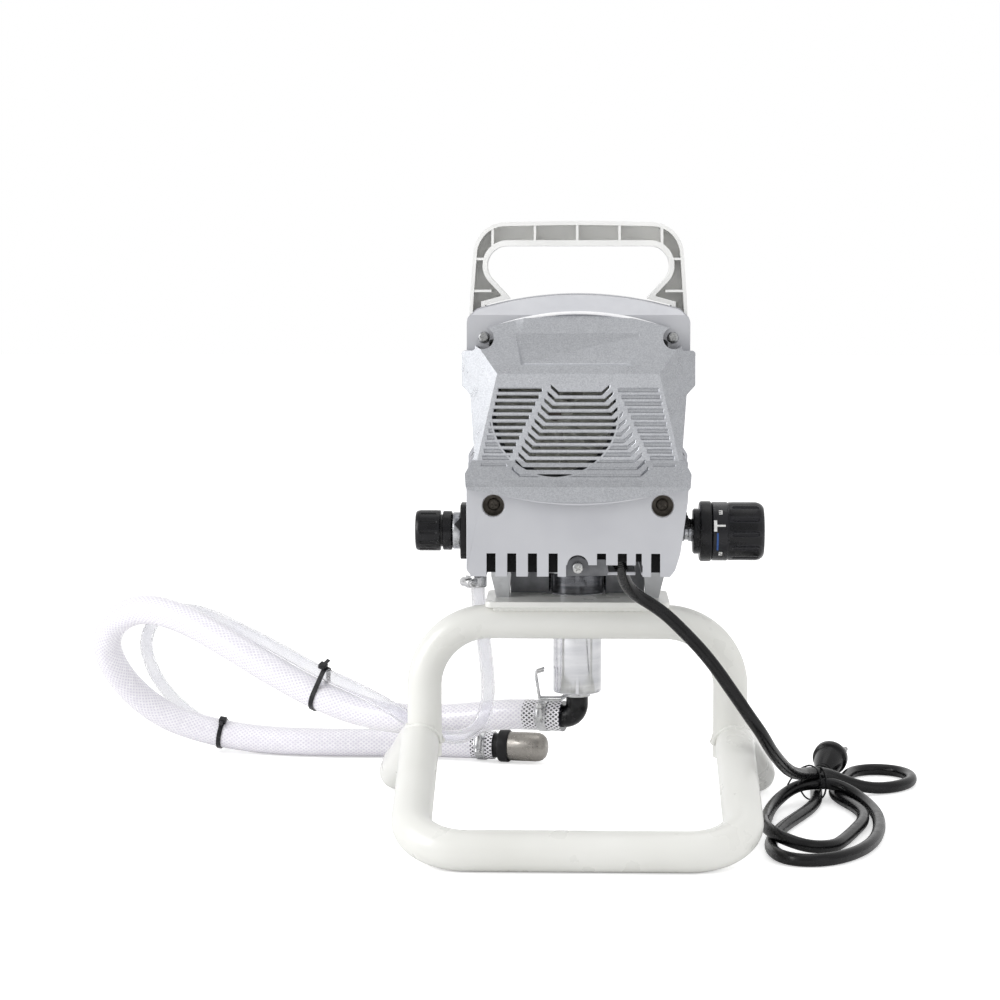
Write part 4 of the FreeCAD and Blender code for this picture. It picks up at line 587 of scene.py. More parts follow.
plug_pins = fitted(joined(plug_pins), plated, ["power_plug"])

# Ties on the cord: two thin wires with a black coat, bent round the waist of the hank by hand and
# twisted shut, with one end of each left hanging.
wire_ties = []
wire_loops = [(203, 96, 17, 11.5, 15.0, 40), (212, 100, 16, 9.0, 13.5, 60)]
for k, (x, y, z, wide, high, yaw) in enumerate(wire_loops):
    turn = math.radians(yaw)
    ring_line = []
    for step in range(48):
        angle = 2 * math.pi * step / 48
        out, up = wide * math.cos(angle), high * math.sin(angle)
        ring_line.append(Vector((x + out * math.cos(turn), y - out * math.sin(turn), z + up)) * mm)
    wire_ties.append(skin(f"cord_tie_{k}", ring_line, 0.0008, sides=8, closed=True))
    tail_places = [
        (x, y, z + high), (x - 6, y - 7, z + high + 1), (x - 13, y - 13, z + high - 3),
        (x - 19, y - 16, z + high - 10), (x - 21, y - 17, z + 1),
    ]
    tail_line = laid_line(f"tie_tail_{k}", [Vector(place) * mm for place in tail_places])
    wire_ties.append(skin(f"tie_tail_{k}", tail_line, 0.0007, sides=8))
fitted(joined(wire_ties), rubber, ["cord_coil"])

# Cord sleeve: a black rubber sleeve moulded with six relief grooves and pushed through the shroud's
# wall. It keeps the cord from kinking where it leaves the shroud.
cord_start = Vector(cord_route[0])
cord_heading = (Vector(cord_route[1]) - cord_start).normalized()
sleeve_profile = [(5.4, -22), (8.4, -22), (8.4, -19.5)]
for k in range(6):
    reach = -18.5 + 3.1 * k
    ridge, groove = 8.0 - 0.22 * k, 6.9 - 0.2 * k
    sleeve_profile += [(ridge, reach), (ridge, reach + 1.9), (groove, reach + 2.3), (groove, reach + 2.9)]
sleeve_profile += [(6.4, 0), (5.4, 0)]
sleeve = turned("cord_sleeve", sleeve_profile, cord_start, cord_heading, 48)
fitted(soften(sleeve, 0.25), rubber, ["cord_gland"])

# Base tube: one steel tube, 32 mm across, bent so that a straight bar lies in front on the floor, two
# arms rise to a crest and splay down again to two long feet. It is powder coated off-white.
base_radius = 16.0
base_half_width = 130
foot_x, foot_end_y = 160, 182
base_right = [
    (base_half_width, -169, 16), (base_half_width, 0, 76), (foot_x, 132, 16), (foot_x, foot_end_y, 16),
]
base_corners = [(-x, y, z) for x, y, z in reversed(base_right)] + base_right
base_bends = [70.0, 70.0, 45.0, 45.0, 70.0, 70.0]


def bent_line(corners, bends, steps=20):
    """Straight runs between corners in millimetres, each corner rounded to its bend radius."""
    corners = [Vector(corner) for corner in corners]
    line = [corners[0]]
    for before, corner, after, bend in zip(corners, corners[1:], corners[2:], bends):
        back = (before - corner).normalized()
        ahead = (after - corner).normalized()
        half = back.angle(ahead) / 2
        centre = corner + (back + ahead).normalized() * (bend / math.sin(half))
        start = corner + back * (bend / math.tan(half)) - centre
        axis = start.cross(corner + ahead * (bend / math.tan(half)) - centre)
        sweep = math.pi - 2 * half
        for step in range(steps + 1):
            line.append(centre + Quaternion(axis, sweep * step / steps) @ start)
    line.append(corners[-1])
    filled = [line[0]]
    for point in line[1:]:
        gap = (point - filled[-1]).length
        pieces = max(1, round(gap / 12))
        here = filled[-1].copy()
        filled += [here + (point - here) * (k + 1) / pieces for k in range(pieces)]
    return [point * mm for point in filled]


frame_paint = finish("off_white_powder_coat", swatch(228, 228, 223), 0.3)
mottle(frame_paint, "Base Color", swatch(224, 224, 219), swatch(232, 232, 228), 0.09, (1, 1, 1), 2.0)
mottle(frame_paint, "Roughness", 0.24, 0.38, 0.03)
relief(frame_paint, grain(frame_paint, 0.0028, (1, 1, 1), 2.0), 0.00009, 0.5)
relief(frame_paint, grain(frame_paint, 0.03, (1, 1, 1), 1.0), 0.0005, 0.3)
shader_of(frame_paint).inputs["Coat Weight"].default_value = 0.25
shader_of(frame_paint).inputs["Coat Roughness"].default_value = 0.12
worn_edges(frame_paint, swatch(240, 240, 237), 0.4)
base_line = bent_line(base_corners, base_bends)
base = skin("frame_base", base_line, base_radius * mm, sides=56)
fitted(base, frame_paint, ["base_tube"])

# Hoop tube: a 28.6 mm tube bent to an upside-down U. Its legs are cut to the crests of the base tube
# and welded all round, and the weld shows as a rippled seam under the paint.
hoop_radius = 14.3
hoop_x = 127
hoop_corners = [(-hoop_x, 0, 58), (-hoop_x, 0, 170.6), (hoop_x, 0, 170.6), (hoop_x, 0, 58)]
hoop = skin("frame_hoop", bent_line(hoop_corners, [54.0, 54.0], 28), hoop_radius * mm, sides=56)
crest_height = 70.7
welds = []
for side in (-1, 1):
    seam = []
    thickness = []
    for step in range(120):
        angle = 2 * math.pi * step / 120
        out = 14.9 * math.cos(angle)
        deep = 14.9 * math.sin(angle)
        over_tube = abs(hoop_x + out - base_half_width)
        drop = math.sqrt(max(16.4**2 - over_tube**2, 0.0))
        seam.append(Vector((side * (hoop_x + out), deep, crest_height + drop - abs(deep) * 0.12)) * mm)
        thickness.append((1.9 + 0.16 * math.sin(angle * 26) + 0.2 * math.sin(angle * 7 + side)) * mm)
    welds.append(skin(f"frame_weld_{side}", seam, thickness, sides=14, closed=True))
hoop = joined([hoop] + welds)
hoop.data.shade_smooth()
fitted(hoop, frame_paint, ["hoop_tube"])

# Foot plugs: two black plastic caps, moulded with a shallow dish in the face and pushed into the open
# ends of the base tube's feet.
cap_plastic = finish("black_moulded_plastic", swatch(34, 34, 36), 0.42)
mottle(cap_plastic, "Base Color", swatch(14, 14, 15), swatch(23, 23, 25), 0.02)
shader_of(cap_plastic).inputs["Specular IOR Level"].default_value = 0.3
mottle(cap_plastic, "Roughness", 0.32, 0.52, 0.008)
relief(cap_plastic, grain(cap_plastic, 0.0008), 0.00006, 0.5)
worn_edges(cap_plastic, swatch(58, 58, 62), 0.45)
cap_profile = [
    (14.2, -12), (14.2, 0), (15.9, 0), (15.9, 1.4), (15.2, 2.5), (13.6, 3.0), (9.0, 3.0), (8.4, 2.2),
    (0, 2.2),
]
foot_caps = []
for side in (-1, 1):
    cap_place = (side * foot_x * mm, foot_end_y * mm, base_radius * mm)
    foot_caps.append(turned(f"foot_cap_{side}", cap_profile, cap_place, depth_axis, 56))
fitted(joined(foot_caps), cap_plastic, ["tube_end_plugs"])

# Mount plate: a 5 mm steel plate, welded along both sides to the top of the hoop and painted with it.
# A round notch, open at the far edge, lets the pump hang through it.
plate_top = 189.0
pump_y = 56
pump_base = (0, pump_y * mm, 0)
bolt_places = [(x, y) for x in (-62.3, 62.3) for y in (20, 36)]


def rounded(corners, steps=8):
    """Points of a closed outline in XZ from corners (x, z, radius) in millimetres."""
    points = []
    count = len(corners)
    for k, (x, z, radius) in enumerate(corners):
        corner = Vector((x, z))
        if radius <= 0:
            points.append(corner)
            continue
        back = (Vector(corners[k - 1][:2]) - corner).normalized()
        ahead = (Vector(corners[(k + 1) % count][:2]) - corner).normalized()
        half = back.angle(ahead) / 2
        centre = corner + (back + ahead).normalized() * (radius / math.sin(half))
        start = corner + back * (radius / math.tan(half)) - centre
        sweep = math.pi - 2 * half
        spin = 1 if start.cross(corner + ahead * (radius / math.tan(half)) - centre) > 0 else -1
        count_here = max(2, min(steps * 4, round(steps * sweep * max(1.0, radius / 60))))
        for step in range(count_here + 1):
            turn = Matrix.Rotation(spin * sweep * step / count_here, 2)
            points.append(centre + turn @ start)
    return points


def mirrored(corners):
    """Corners (x, z, radius) reflected to the other side, in the order that closes an outline."""
    return [(-x, z, radius) for x, z, radius in reversed(corners)]


def slab(name, outline, y):
    """A solid with an XZ outline between two values of Y, in millimetres."""
    count = len(outline)
    points = [(x * mm, y[0] * mm, z * mm) for x, z in outline]
    points += [(x * mm, y[1] * mm, z * mm) for x, z in outline]
    faces = [list(range(count)), list(range(2 * count - 1, count - 1, -1))]
    faces += [[k, (k + 1) % count, count + (k + 1) % count, count + k][::-1] for k in range(count)]
    return faced_outward(built(name, points, faces), 1e-6)


def block(name, x, y, z):
    """A plain box between two values of X, of Y and of Z, in millimetres."""
    return slab(name, [(x[0], z[0]), (x[1], z[0]), (x[1], z[1]), (x[0], z[1])], y)


def laid_flat(piece):
    """Turns a slab drawn in XZ so that its outline lies in XY and its thickness along Z."""
    piece.data.transform(Matrix(((1, 0, 0, 0), (0, 0, 1, 0), (0, 1, 0, 0), (0, 0, 0, 1))))
    return faced_outward(piece)


plate_outline = rounded([(-76, -17, 6), (76, -17, 6), (76, 64, 6), (-76, 64, 6)])
plate = laid_flat(slab("plate_mount", plate_outline, (184, plate_top)))
through_plate = (180, 195)
plate_notch = rod("plate_notch", 28, through_plate, pump_base, up_axis)
plate_mouth = block("plate_mouth", (-28, 28), (pump_y, 66), through_plate)
carve(plate, [plate_notch, plate_mouth])
plate_holes = [
    rod(f"plate_hole_{x}_{y}", 3.2, through_plate, (x * mm, y * mm, 0), up_axis, 24)
    for x, y in bolt_places
]
carve(plate, [joined(plate_holes)])
soften(plate, 0.8)
fillet_weld = []
for y in (-15.2, 15.2):
    seam = [Vector((-70 + 140 * k / 90, y * 0.62, 183.0)) * mm for k in range(91)]
    ripple = [(2.6 + 0.3 * math.sin(k * 1.9)) * mm for k in range(91)]
    fillet_weld.append(skin(f"plate_weld_{y}", seam, ripple, sides=12))
plate = joined([plate] + fillet_weld)
fitted(plate, frame_paint, ["mount_plate"])

# Plate bolts: four zinc-plated hexagon bolts. They go up through the plate into the feet of the pump
# casting and hold it from below.
zinc = finish("zinc_plated_steel", swatch(186, 188, 190), 0.3, 1.0)
mottle(zinc, "Base Color", swatch(168, 170, 172), swatch(205, 205, 203), 0.006)
mottle(zinc, "Roughness", 0.2, 0.42, 0.004)
relief(zinc, grain(zinc, 0.0012), 0.00004, 0.5)


def hex_head(name, place, axis, across, height):
    """A hexagon bolt head with its corners turned off, sizes in millimetres."""
    profile = [(0, 0), (across / 2, 0), (across / 2, height), (0, height)]
    head = turned(name, profile, place, axis, 6)
    domed = [(0, -1), (across, -1), (across, height - 1.2), (across * 0.41, height), (0, height)]
    return carve(head, [turned(name + "_dome", domed, place, axis, 48)], "INTERSECT")


bolt_heads = [
    hex_head(f"plate_bolt_{x}_{y}", (x * mm, y * mm, 0.184), (0, 0, -1), 11.0, 4.0)
    for x, y in bolt_places
]
bolt_heads = soften(joined(bolt_heads), 0.25)
fitted(bolt_heads, zinc, ["plate_bolts"])

# Pump casting: one aluminium casting with a valve bar across, a round pump body behind it and two
# tapered feet on the plate. It is shot-blasted, with the pump body's collar turned bright.
cast = finish("cast_aluminium", swatch(158, 160, 163), 0.42, 0.85)
mottle(cast, "Base Color", swatch(142, 144, 148), swatch(172, 174, 176), 0.012)
mottle(cast, "Roughness", 0.34, 0.55, 0.004)
relief(cast, grain(cast, 0.0011), 0.00018, 0.7)
worn_edges(cast, swatch(212, 213, 214), 0.6)
valve_line = (0, 0.028, 0.2435)
casting_x = (-92.5, 82)
casting_top = 256.5
body_radius = 32
cylinder_radius = 20.5
valve_bar = block("casting_bar", casting_x, (12, 44), (230.5, casting_top))
pump_body = rod("casting_body", body_radius, (207, casting_top), pump_base, up_axis, 96)
saddle = block("casting_saddle", (-body_radius, body_radius), (18, pump_y), (213, casting_top))
feet = []
for side in (-1, 1):
    foot = [(72, 232.5), (72, 207), (67.6, 189), (57, 189), (55.5, 207), (55.5, 232.5)]
    feet.append(slab(f"casting_foot_{side}", [(side * x, z) for x, z in foot], (13, 43)))
casting = carve(valve_bar, [pump_body], "UNION")
for part in [saddle] + feet:
    casting = carve(casting, [part], "UNION")
bore_profile = [(0, 200), (cylinder_radius, 200), (cylinder_radius, 225), (16, 225), (16, 260), (0, 260)]
bore = turned("casting_bore", bore_profile, pump_base, up_axis)
left_end, right_end = [(x * mm, *valve_line[1:]) for x in casting_x]
prime_bore = rod("prime_bore", 5.1, (-1, 22), left_end, width_axis, 32)
control_bore = rod("control_bore", 6.75, (-1, 14), right_end, (-1, 0, 0), 32)
casting = carve(casting, [bore])
casting = carve(casting, [joined([prime_bore, control_bore])])
soften(casting, 1.2, 3)
fitted(casting, cast, ["manifold"])

# Pump: a polished steel cylinder hangs from the casting under a slotted lock nut. The marks of the
# lathe and the polishing wheel run round it.
polished = finish("polished_steel", swatch(214, 215, 218), 0.14, 1.0)
mottle(polished, "Roughness", 0.08, 0.22, 0.02, (1, 1, 14))
mottle(polished, "Base Color", swatch(200, 201, 205), swatch(226, 226, 228), 0.05, (1, 1, 10))
relief(polished, grain(polished, 0.01, (1, 1, 12), 3.0), 0.00003, 0.3)
cylinder_profile = [
    (0, 103), (19.6, 103), (cylinder_radius, 103.9), (cylinder_radius, 214), (0, 214),
]
cylinder = turned("pump_barrel", cylinder_profile, pump_base, up_axis, 96)
fitted(soften(cylinder, 0.3), polished, ["pump_cylinder"])
nut_profile = [
    (cylinder_radius, 188.8), (25.6, 188.8), (26.2, 189.4), (26.2, 212), (cylinder_radius, 212),
]
nut = turned("pump_nut", nut_profile, pump_base, up_axis, 96)
nut_slots = []
for k in range(5):
    angle = math.radians(60 * k + 330)
    spot = (25.5 * mm * math.cos(angle), pump_y * mm + 25.5 * mm * math.sin(angle), 0)
    nut_slots.append(rod(f"nut_slot_{k}", 2.5, (188, 210), spot, up_axis, 20))
carve(nut, [joined(nut_slots)])
machined = finish("machined_steel", swatch(176, 178, 182), 0.26, 1.0)
mottle(machined, "Base Color", swatch(138, 140, 146), swatch(206, 207, 209), 0.03, (6, 6, 1), 2.0)
mottle(machined, "Roughness", 0.16, 0.38, 0.01, (1, 1, 20))
relief(machined, grain(machined, 0.02, (1, 1, 80), 3.0), 0.00005, 0.4)
nut_steel = finish("oiled_nut_steel", swatch(104, 105, 109), 0.2, 1.0)
mottle(nut_steel, "Base Color", swatch(88, 89, 93), swatch(122, 123, 127), 0.02, (1, 1, 8))
mottle(nut_steel, "Roughness", 0.14, 0.28, 0.01, (1, 1, 20))
relief(nut_steel, grain(nut_steel, 0.02, (1, 1, 80), 3.0), 0.00003, 0.4)
fitted(soften(nut, 0.4), nut_steel, ["pump_lock_nut"])

# Suction elbow: a gloss black moulded elbow, screwed into the cylinder's end and turned left. Its
# barb has four ridges that hold the hose.
elbow_yaw = math.radians(20)
elbow_ahead = Vector((-math.cos(elbow_yaw), math.sin(elbow_yaw), 0))
elbow_corner = Vector((0, pump_y, 80.6))
elbow_end = elbow_corner + elbow_ahead * 20
elbow_line = bent_line([(0, pump_y, 102.8), elbow_corner, elbow_end], [11.4], 16)
elbow = skin("elbow_body", elbow_line, 9.4 * mm, sides=40)
ring_profile = [(9.0, 101.4), (10.2, 101.4), (10.2, 102.8), (9.0, 102.8)]
elbow_ring = turned("elbow_ring", ring_profile, pump_base, up_axis, 48)
barb_profile = [(5.5, 0)]
for k in range(4):
    barb_profile += [(9.5, 0.5 + 6 * k), (8.3, 6 + 6 * k)]
barb_profile += [(8.3, 28), (5.5, 28)]
elbow_barb = turned("elbow_barb", barb_profile, elbow_end * mm, elbow_ahead, 40)
gloss_black = finish("gloss_black_plastic", swatch(24, 24, 27), 0.24)
mottle(gloss_black, "Base Color", swatch(10, 10, 12), swatch(18, 18, 22), 0.02)
shader_of(gloss_black).inputs["Specular IOR Level"].default_value = 0.34
mottle(gloss_black, "Roughness", 0.18, 0.36, 0.01)
relief(gloss_black, grain(gloss_black, 0.002), 0.00006, 0.4)
worn_edges(gloss_black, swatch(48, 48, 53), 0.4)
elbow = soften(joined([elbow, elbow_ring, elbow_barb]), 0.4)
fitted(elbow, gloss_black, ["suction_elbow"])

# Hose clamps: two worm-drive clamps on the suction hose and a small ear clamp on the return tube, in
# bright steel. Each band is slotted where the worm's thread bites.
clamp_steel = finish("clamp_steel", swatch(204, 205, 207), 0.2, 1.0)
mottle(clamp_steel, "Roughness", 0.12, 0.32, 0.006)
mottle(clamp_steel, "Base Color", swatch(182, 183, 186), swatch(224, 224, 224), 0.008)
relief(clamp_steel, grain(clamp_steel, 0.001), 0.00003, 0.4)


def worm_clamp(name, centre, axis, radius, screw_side, width):
    """A hose clamp round an axis: band, slots, screw housing and slotted screw, in millimetres."""
    axis = Vector(axis).normalized()
    side = Vector(screw_side)
    side = (side - axis * side.dot(axis)).normalized()
    across = axis.cross(side)
    half = width / 2
    outside = radius + 0.9
    band_profile = [
        (radius, -half), (radius + 0.5, -half), (outside, -half + 0.5), (outside, half - 0.5),
        (radius + 0.5, half), (radius, half), (radius, -half),
    ]
    band = turned(name, band_profile, centre * mm, axis, 72)
    seat = centre + side * (radius + 3.4)
    housing_profile = [(0, -6.5), (3.4, -6.5), (3.9, -5.5), (3.9, 5.5), (3.4, 6.5), (0, 6.5)]
    housing = turned(name + "_housing", housing_profile, seat * mm, across, 28)
    foot = rod(name + "_foot", 6.5, (-5, 5), (centre + side * (radius + 0.4)) * mm, axis, 28)
    root = centre * mm + side * radius * mm
    flattened = Matrix.Scale(0.28, 4, side)
    foot.data.transform(Matrix.Translation(root) @ flattened @ Matrix.Translation(-root))
    screw_profile = [(0, 6.4), (3.1, 6.4), (3.3, 7.0), (3.3, 9.6), (2.9, 10.2), (0, 10.2)]
    screw = turned(name + "_screw", screw_profile, seat * mm, across, 24)
    slot = block(name + "_slot", (-4, 4), (-0.5, 0.5), (9.2, 12))
    slot.data.transform(Matrix.Translation(seat * mm) @ across.to_track_quat("Z", "Y").to_matrix().to_4x4())
    carve(screw, [slot])
    slots = []
    for k in range(9):
        angle = math.radians(-74 + 11 * k)
        outward = side * math.cos(angle) - across * math.sin(angle)
        spot = centre + outward * outside
        notch = block(f"{name}_bite_{k}", (-half * 0.62, half * 0.62), (-0.5, 0.5), (-0.55, 0.55))
        frame_turn = Matrix((axis, outward, axis.cross(outward))).transposed()
        notch.data.transform(Matrix.Translation(spot * mm) @ frame_turn.to_4x4())
        slots.append(notch)
    carve(band, [joined(slots)])
    return joined([band, housing, foot, screw])


strainer_start = Vector(suction_route[-1])
strainer_axis = (strainer_start - Vector(suction_route[-2])).normalized()
hose_outside = 13.2
clamp_width = 9.0
on_elbow_barb = elbow_corner + elbow_ahead * 29
on_strainer_barb = strainer_start / mm - strainer_axis * 12
on_drain_barb = Vector((-84, 28.5, 200.5))
clamps = [
    worm_clamp("clamp_elbow", on_elbow_barb, elbow_ahead, hose_outside, (0.3, -1, 0.1), clamp_width),
    worm_clamp("clamp_strainer", on_strainer_barb, strainer_axis, hose_outside, (0.3, -1, 0.3), clamp_width),
    worm_clamp("clamp_drain", on_drain_barb, Vector(up_axis), 7.0, (-1, -0.75, 0), clamp_width),
]
clamps = soften(joined(clamps), 0.15, 1)
fitted(clamps, clamp_steel, ["hose_clamps"])

# Strainer: a black moulded fitting with a barb, and a turned steel cup screwed over its end. It is
# pushed into the end of the suction hose and lies on the floor.
fitting_profile = [
    (5.5, -22), (9.0, -22), (9.5, -19), (8.4, -14), (9.5, -13), (8.4, -8), (9.5, -7), (9.0, 0), (11.5, 0),
    (11.5, 5), (14.4, 5), (15.2, 6.2), (15.2, 13.8), (14.4, 15), (5.5, 15),
]
strainer_body = turned("strainer_body", fitting_profile, strainer_start, strainer_axis)
fitted(soften(strainer_body, 0.4), cap_plastic, ["strainer_fitting"])
mesh_steel = finish("punched_steel_cup", swatch(160, 156, 151), 0.3, 1.0)
mottle(mesh_steel, "Base Color", swatch(142, 138, 133), swatch(178, 174, 168), 0.0015, (1, 6, 6), 3.0)
mottle(mesh_steel, "Roughness", 0.2, 0.45, 0.004)
relief(mesh_steel, grain(mesh_steel, 0.0014), 0.0001, 0.5)
cup_profile = [
    (11.8, 15), (13.6, 15), (13.6, 40), (13.2, 43.6), (12.0, 46.6), (9.6, 49.2), (6.2, 50.6), (0, 51),
    (0, 45), (11.8, 45), (11.8, 15),
]
cup = turned("strainer_steel_cup", cup_profile, strainer_start, strainer_axis)
fitted(soften(cup, 0.3), mesh_steel, ["strainer_cup"])

# Pail hook: two bright spring wires on a collar round the elbow's neck. They are bent up at the end so
# that they hang over the rim of a pail.
collar_profile = [(9.4, 99.2), (11.4, 99.2), (11.4, 101.8), (9.4, 101.8), (9.4, 99.2)]
hook_pieces = [turned("hook_collar", collar_profile, pump_base, up_axis, 48)]
for side in (-1, 1):
    y = pump_y + side * 7.0
    bends = [(-7.6, y, 100.5), (-14, y, 96.5), (-32, y, 96.5), (-35.5, y, 119.5), (-28, y, 122)]
    hook_pieces.append(skin(f"hook_wire_{side}", bent_line(bends, [2.0, 2.5, 2.5], 8), 1.0 * mm, sides=16))
fitted(soften(joined(hook_pieces), 0.3), clamp_steel, ["bucket_hook"])

# Cable ties: two black nylon straps with a square head each, pulled tight by hand round both hoses.
# They hold the return tube against the suction hose.
tie_places = [(-0.2290, 0.1395, 0.0840), (-0.3410, 0.3075, 0.0188)]
tie_width = 4.2
tie_thickness = 1.3


def strap(name, here, big, there, small, axis):
    """A strap pulled tight round two round bars that run along one axis, in millimetres."""
    across = there - here
    across -= axis * across.dot(axis)
    span = across.length
    unit = across.normalized()
    lean = math.acos((big - small) / span)
    side = axis.cross(unit)
    loop = []
    for step in range(33):
        angle = lean + (2 * math.pi - 2 * lean) * step / 32
        outward = unit * math.cos(angle) + side * math.sin(angle)
        loop.append((here + outward * big, outward))
    for step in range(17):
        angle = -lean + 2 * lean * step / 16
        outward = unit * math.cos(angle) + side * math.sin(angle)
        loop.append((here + unit * span + outward * small, outward))
    count = len(loop)
    points = []
    for place, outward in loop:
        for lift, shift in ((0, -0.5), (tie_thickness, -0.5), (tie_thickness, 0.5), (0, 0.5)):
            points.append((place + outward * lift + axis * (shift * tie_width)) * mm)
    faces = []
    for k in range(count):
        after = (k + 1) % count
        for edge in range(4):
            following = (edge + 1) % 4
            faces.append((4 * k + edge, 4 * after + edge, 4 * after + following, 4 * k + following))
    return built(name, points, faces)


straps = []
for k, tie_place in enumerate(tie_places):
    nearest = min(range(len(suction_line)), key=lambda step: (suction_line[step] - Vector(tie_place)).length)
    axis = (suction_line[nearest + 1] - suction_line[nearest - 1]).normalized()
    hose_spot = suction_line[nearest] / mm
    tube_spot = min(return_line, key=lambda point: (point - suction_line[nearest]).length) / mm
    straps.append(strap(f"tie_strap_{k}", hose_spot, 13.4, tube_spot, 6.2, axis))
    up = Vector((0, -0.45, 0.9))
    up = (up - axis * up.dot(axis)).normalized()
    head_place = (hose_spot + up * (hose_outside + 2.6)) if k == 1 else (tube_spot + up * 8.4)
    across = axis.cross(up)
    turn = Matrix((axis, across, up)).transposed().to_4x4()
    head = soften(block(f"tie_head_{k}", (-3.4, 3.4), (-3.2, 3.2), (-2.2, 2.4)), 0.5)
    head.data.transform(Matrix.Translation(head_place * mm) @ turn)
    tail = block(f"tie_tail_end_{k}", (-1.6, 1.6), (3.0, 9.5), (0.2, 1.5))
    tail.data.transform(Matrix.Translation(head_place * mm) @ turn)
    straps += [head, tail]
straps = faced_outward(joined(straps))
fitted(soften(straps, 0.2, 1), gloss_black, ["cable_ties"])

# Bracket: a folded piece of dark coated steel with a round boss for its screw. It closes the gap
# between the shroud's comb and the casting.
dark_steel = finish("dark_coated_steel", swatch(112, 113, 116), 0.36, 0.7)
mottle(dark_steel, "Base Color", swatch(96, 97, 100), swatch(132, 133, 136), 0.012)
mottle(dark_steel, "Roughness", 0.28, 0.46, 0.006)
relief(dark_steel, grain(dark_steel, 0.0012), 0.00006, 0.5)
boss_place = (0, 0, 0.2335)
bracket_outline = rounded([(-12, 225, 1.5), (-7, 238, 2), (22, 238, 2), (24, 227, 1.5)])
bracket_face = slab("bracket_face", bracket_outline, (-137.5, -135.5))
bracket_boss = rod("bracket_boss", 7.0, (-137.5, -135.5), boss_place, depth_axis, 48)
carve(bracket_face, [bracket_boss], "UNION")
bracket_shelf = block("bracket_shelf", (-10, 23), (-136, -104), (225.2, 227.2))
bracket = soften(carve(bracket_face, [bracket_shelf], "UNION"), 0.4)
fitted(bracket, dark_steel, ["shroud_bracket"])

# Web: the wall of the aluminium casting between its two feet, drawn in dark coated steel as painted
# shade. It shows behind the lock nut, in the shade under the comb.
web = soften(block("casting_web", (-56.5, 56.5), (46, 52), (187, 231)), 0.6)
fitted(web, dark_steel, ["manifold"])

# Lower shroud: a pale satin moulding round the motor's lower half. Its floor opens in a comb of
# air slots, and its near face carries two deep cups for the rear cover's screws.
shell_wall = 2.5
shell_half_width = 87.0
shell_split = 296
lower_near = -141
upper_near = -108
shell_far = -18
lower_screw_x = 65.2
lower_screw_z = 280


def shell_corners(half_width):
    """The shroud's outline as corners (x, z, radius) in millimetres, clockwise from its top."""
    right = [
        (half_width - 8, 430, 8), (half_width, 422, 5), (half_width, 371, 4), (half_width - 7, 361, 4),
        (half_width - 8, 322, 4), (half_width - 1, 311, 4),
    ]
    right_low = [
        (half_width - 2.5, 283, 30), (half_width - 8, 243, 30), (half_width - 12, 230, 4),
        (half_width - 16, 225, 0),
    ]
    left_low = [(-half_width + 5, 225, 0), (-half_width + 1, 230, 4), (-half_width + 1, 311, 4)]
    return [(0, 450, 285)] + right + right_low + left_low + mirrored(right[:-1])


def drawn_in(outline, distance):
    """A closed outline moved inward by a distance, both in millimetres."""
    count = len(outline)
    area = sum(outline[k - 1].cross(outline[k]) for k in range(count))
    spin = 1 if area > 0 else -1
    lines = []
    for k in range(count):
        start, stop = outline[k], outline[(k + 1) % count]
        if (stop - start).length < 0.02:
            continue
        ahead = (stop - start).normalized()
        inward = Vector((-ahead.y, ahead.x)) * spin
        lines.append((start + inward * distance, ahead))
    moved = []
    for (first, heading), (second, next_heading) in zip(lines, lines[1:] + lines[:1]):
        turn = heading.cross(next_heading)
        if abs(turn) < 1e-4:
            moved.append(second)
        else:
            moved.append(first + heading * ((second - first).cross(next_heading) / turn))
    kept = [moved[0]]
    for point in moved[1:]:
        if (point - kept[-1]).length > 0.05:
            kept.append(point)
    return kept


def planed(piece, point, normal):
    """Cuts away what lies beyond a plane and closes the cut, the point in millimetres."""
    body = bmesh.new()
    body.from_mesh(piece.data)
    cut = bmesh.ops.bisect_plane(
        body, geom=body.verts[:] + body.edges[:] + body.faces[:], plane_co=Vector(point) * mm,
        plane_no=Vector(normal), clear_outer=True,
    )
    rim = [edge for edge in cut["geom_cut"] if isinstance(edge, bmesh.types.BMEdge)]
    bmesh.ops.holes_fill(body, edges=rim)
    bmesh.ops.recalc_face_normals(body, faces=body.faces)
    body.to_mesh(piece.data)
    body.free()
    return piece


shell_outer = rounded(shell_corners(shell_half_width), 12)
shell_inner = drawn_in(shell_outer, shell_wall)
pale_plastic = finish("pale_satin_plastic", swatch(196, 197, 202), 0.34, 0.35)
mottle(pale_plastic, "Base Color", swatch(192, 193, 198), swatch(202, 203, 207), 0.05, (1, 1, 1), 2.0)
mottle(pale_plastic, "Roughness", 0.28, 0.42, 0.006)
relief(pale_plastic, grain(pale_plastic, 0.0007), 0.00006, 0.45)
lower_shroud = slab("shroud_lower", shell_outer, (lower_near, shell_far))
planed(lower_shroud, (0, 0, shell_split), (0, 0, 1))
shroud_hollow = slab("shroud_hollow", shell_inner, (lower_near + shell_wall, -10))
carve(lower_shroud, [shroud_hollow])
comb = []
through_wall = (-150, -129)
for x, width in [(-67, 7), (-51, 7), (-35, 7), (-19, 7), (18.3, 7), (34.3, 7), (47, 4.6), (60, 7)]:
    across_slot = (x - width / 2, x + width / 2)
    comb.append(block(f"comb_{x}", across_slot, through_wall, (220, 243)))
    comb.append(block(f"comb_floor_{x}", across_slot, (-150, -28), (220, 231)))
comb.append(block("cord_notch", (-9, 50), through_wall, (220, 234)))
carve(lower_shroud, comb)
boss_gap = rod("boss_gap", 8.2, (-150, -130), boss_place, depth_axis, 48)
carve(lower_shroud, [boss_gap])
cup_places = []
for x in (-lower_screw_x, lower_screw_x):
    cup_places.append((x, (x * mm, lower_near * mm, lower_screw_z * mm)))
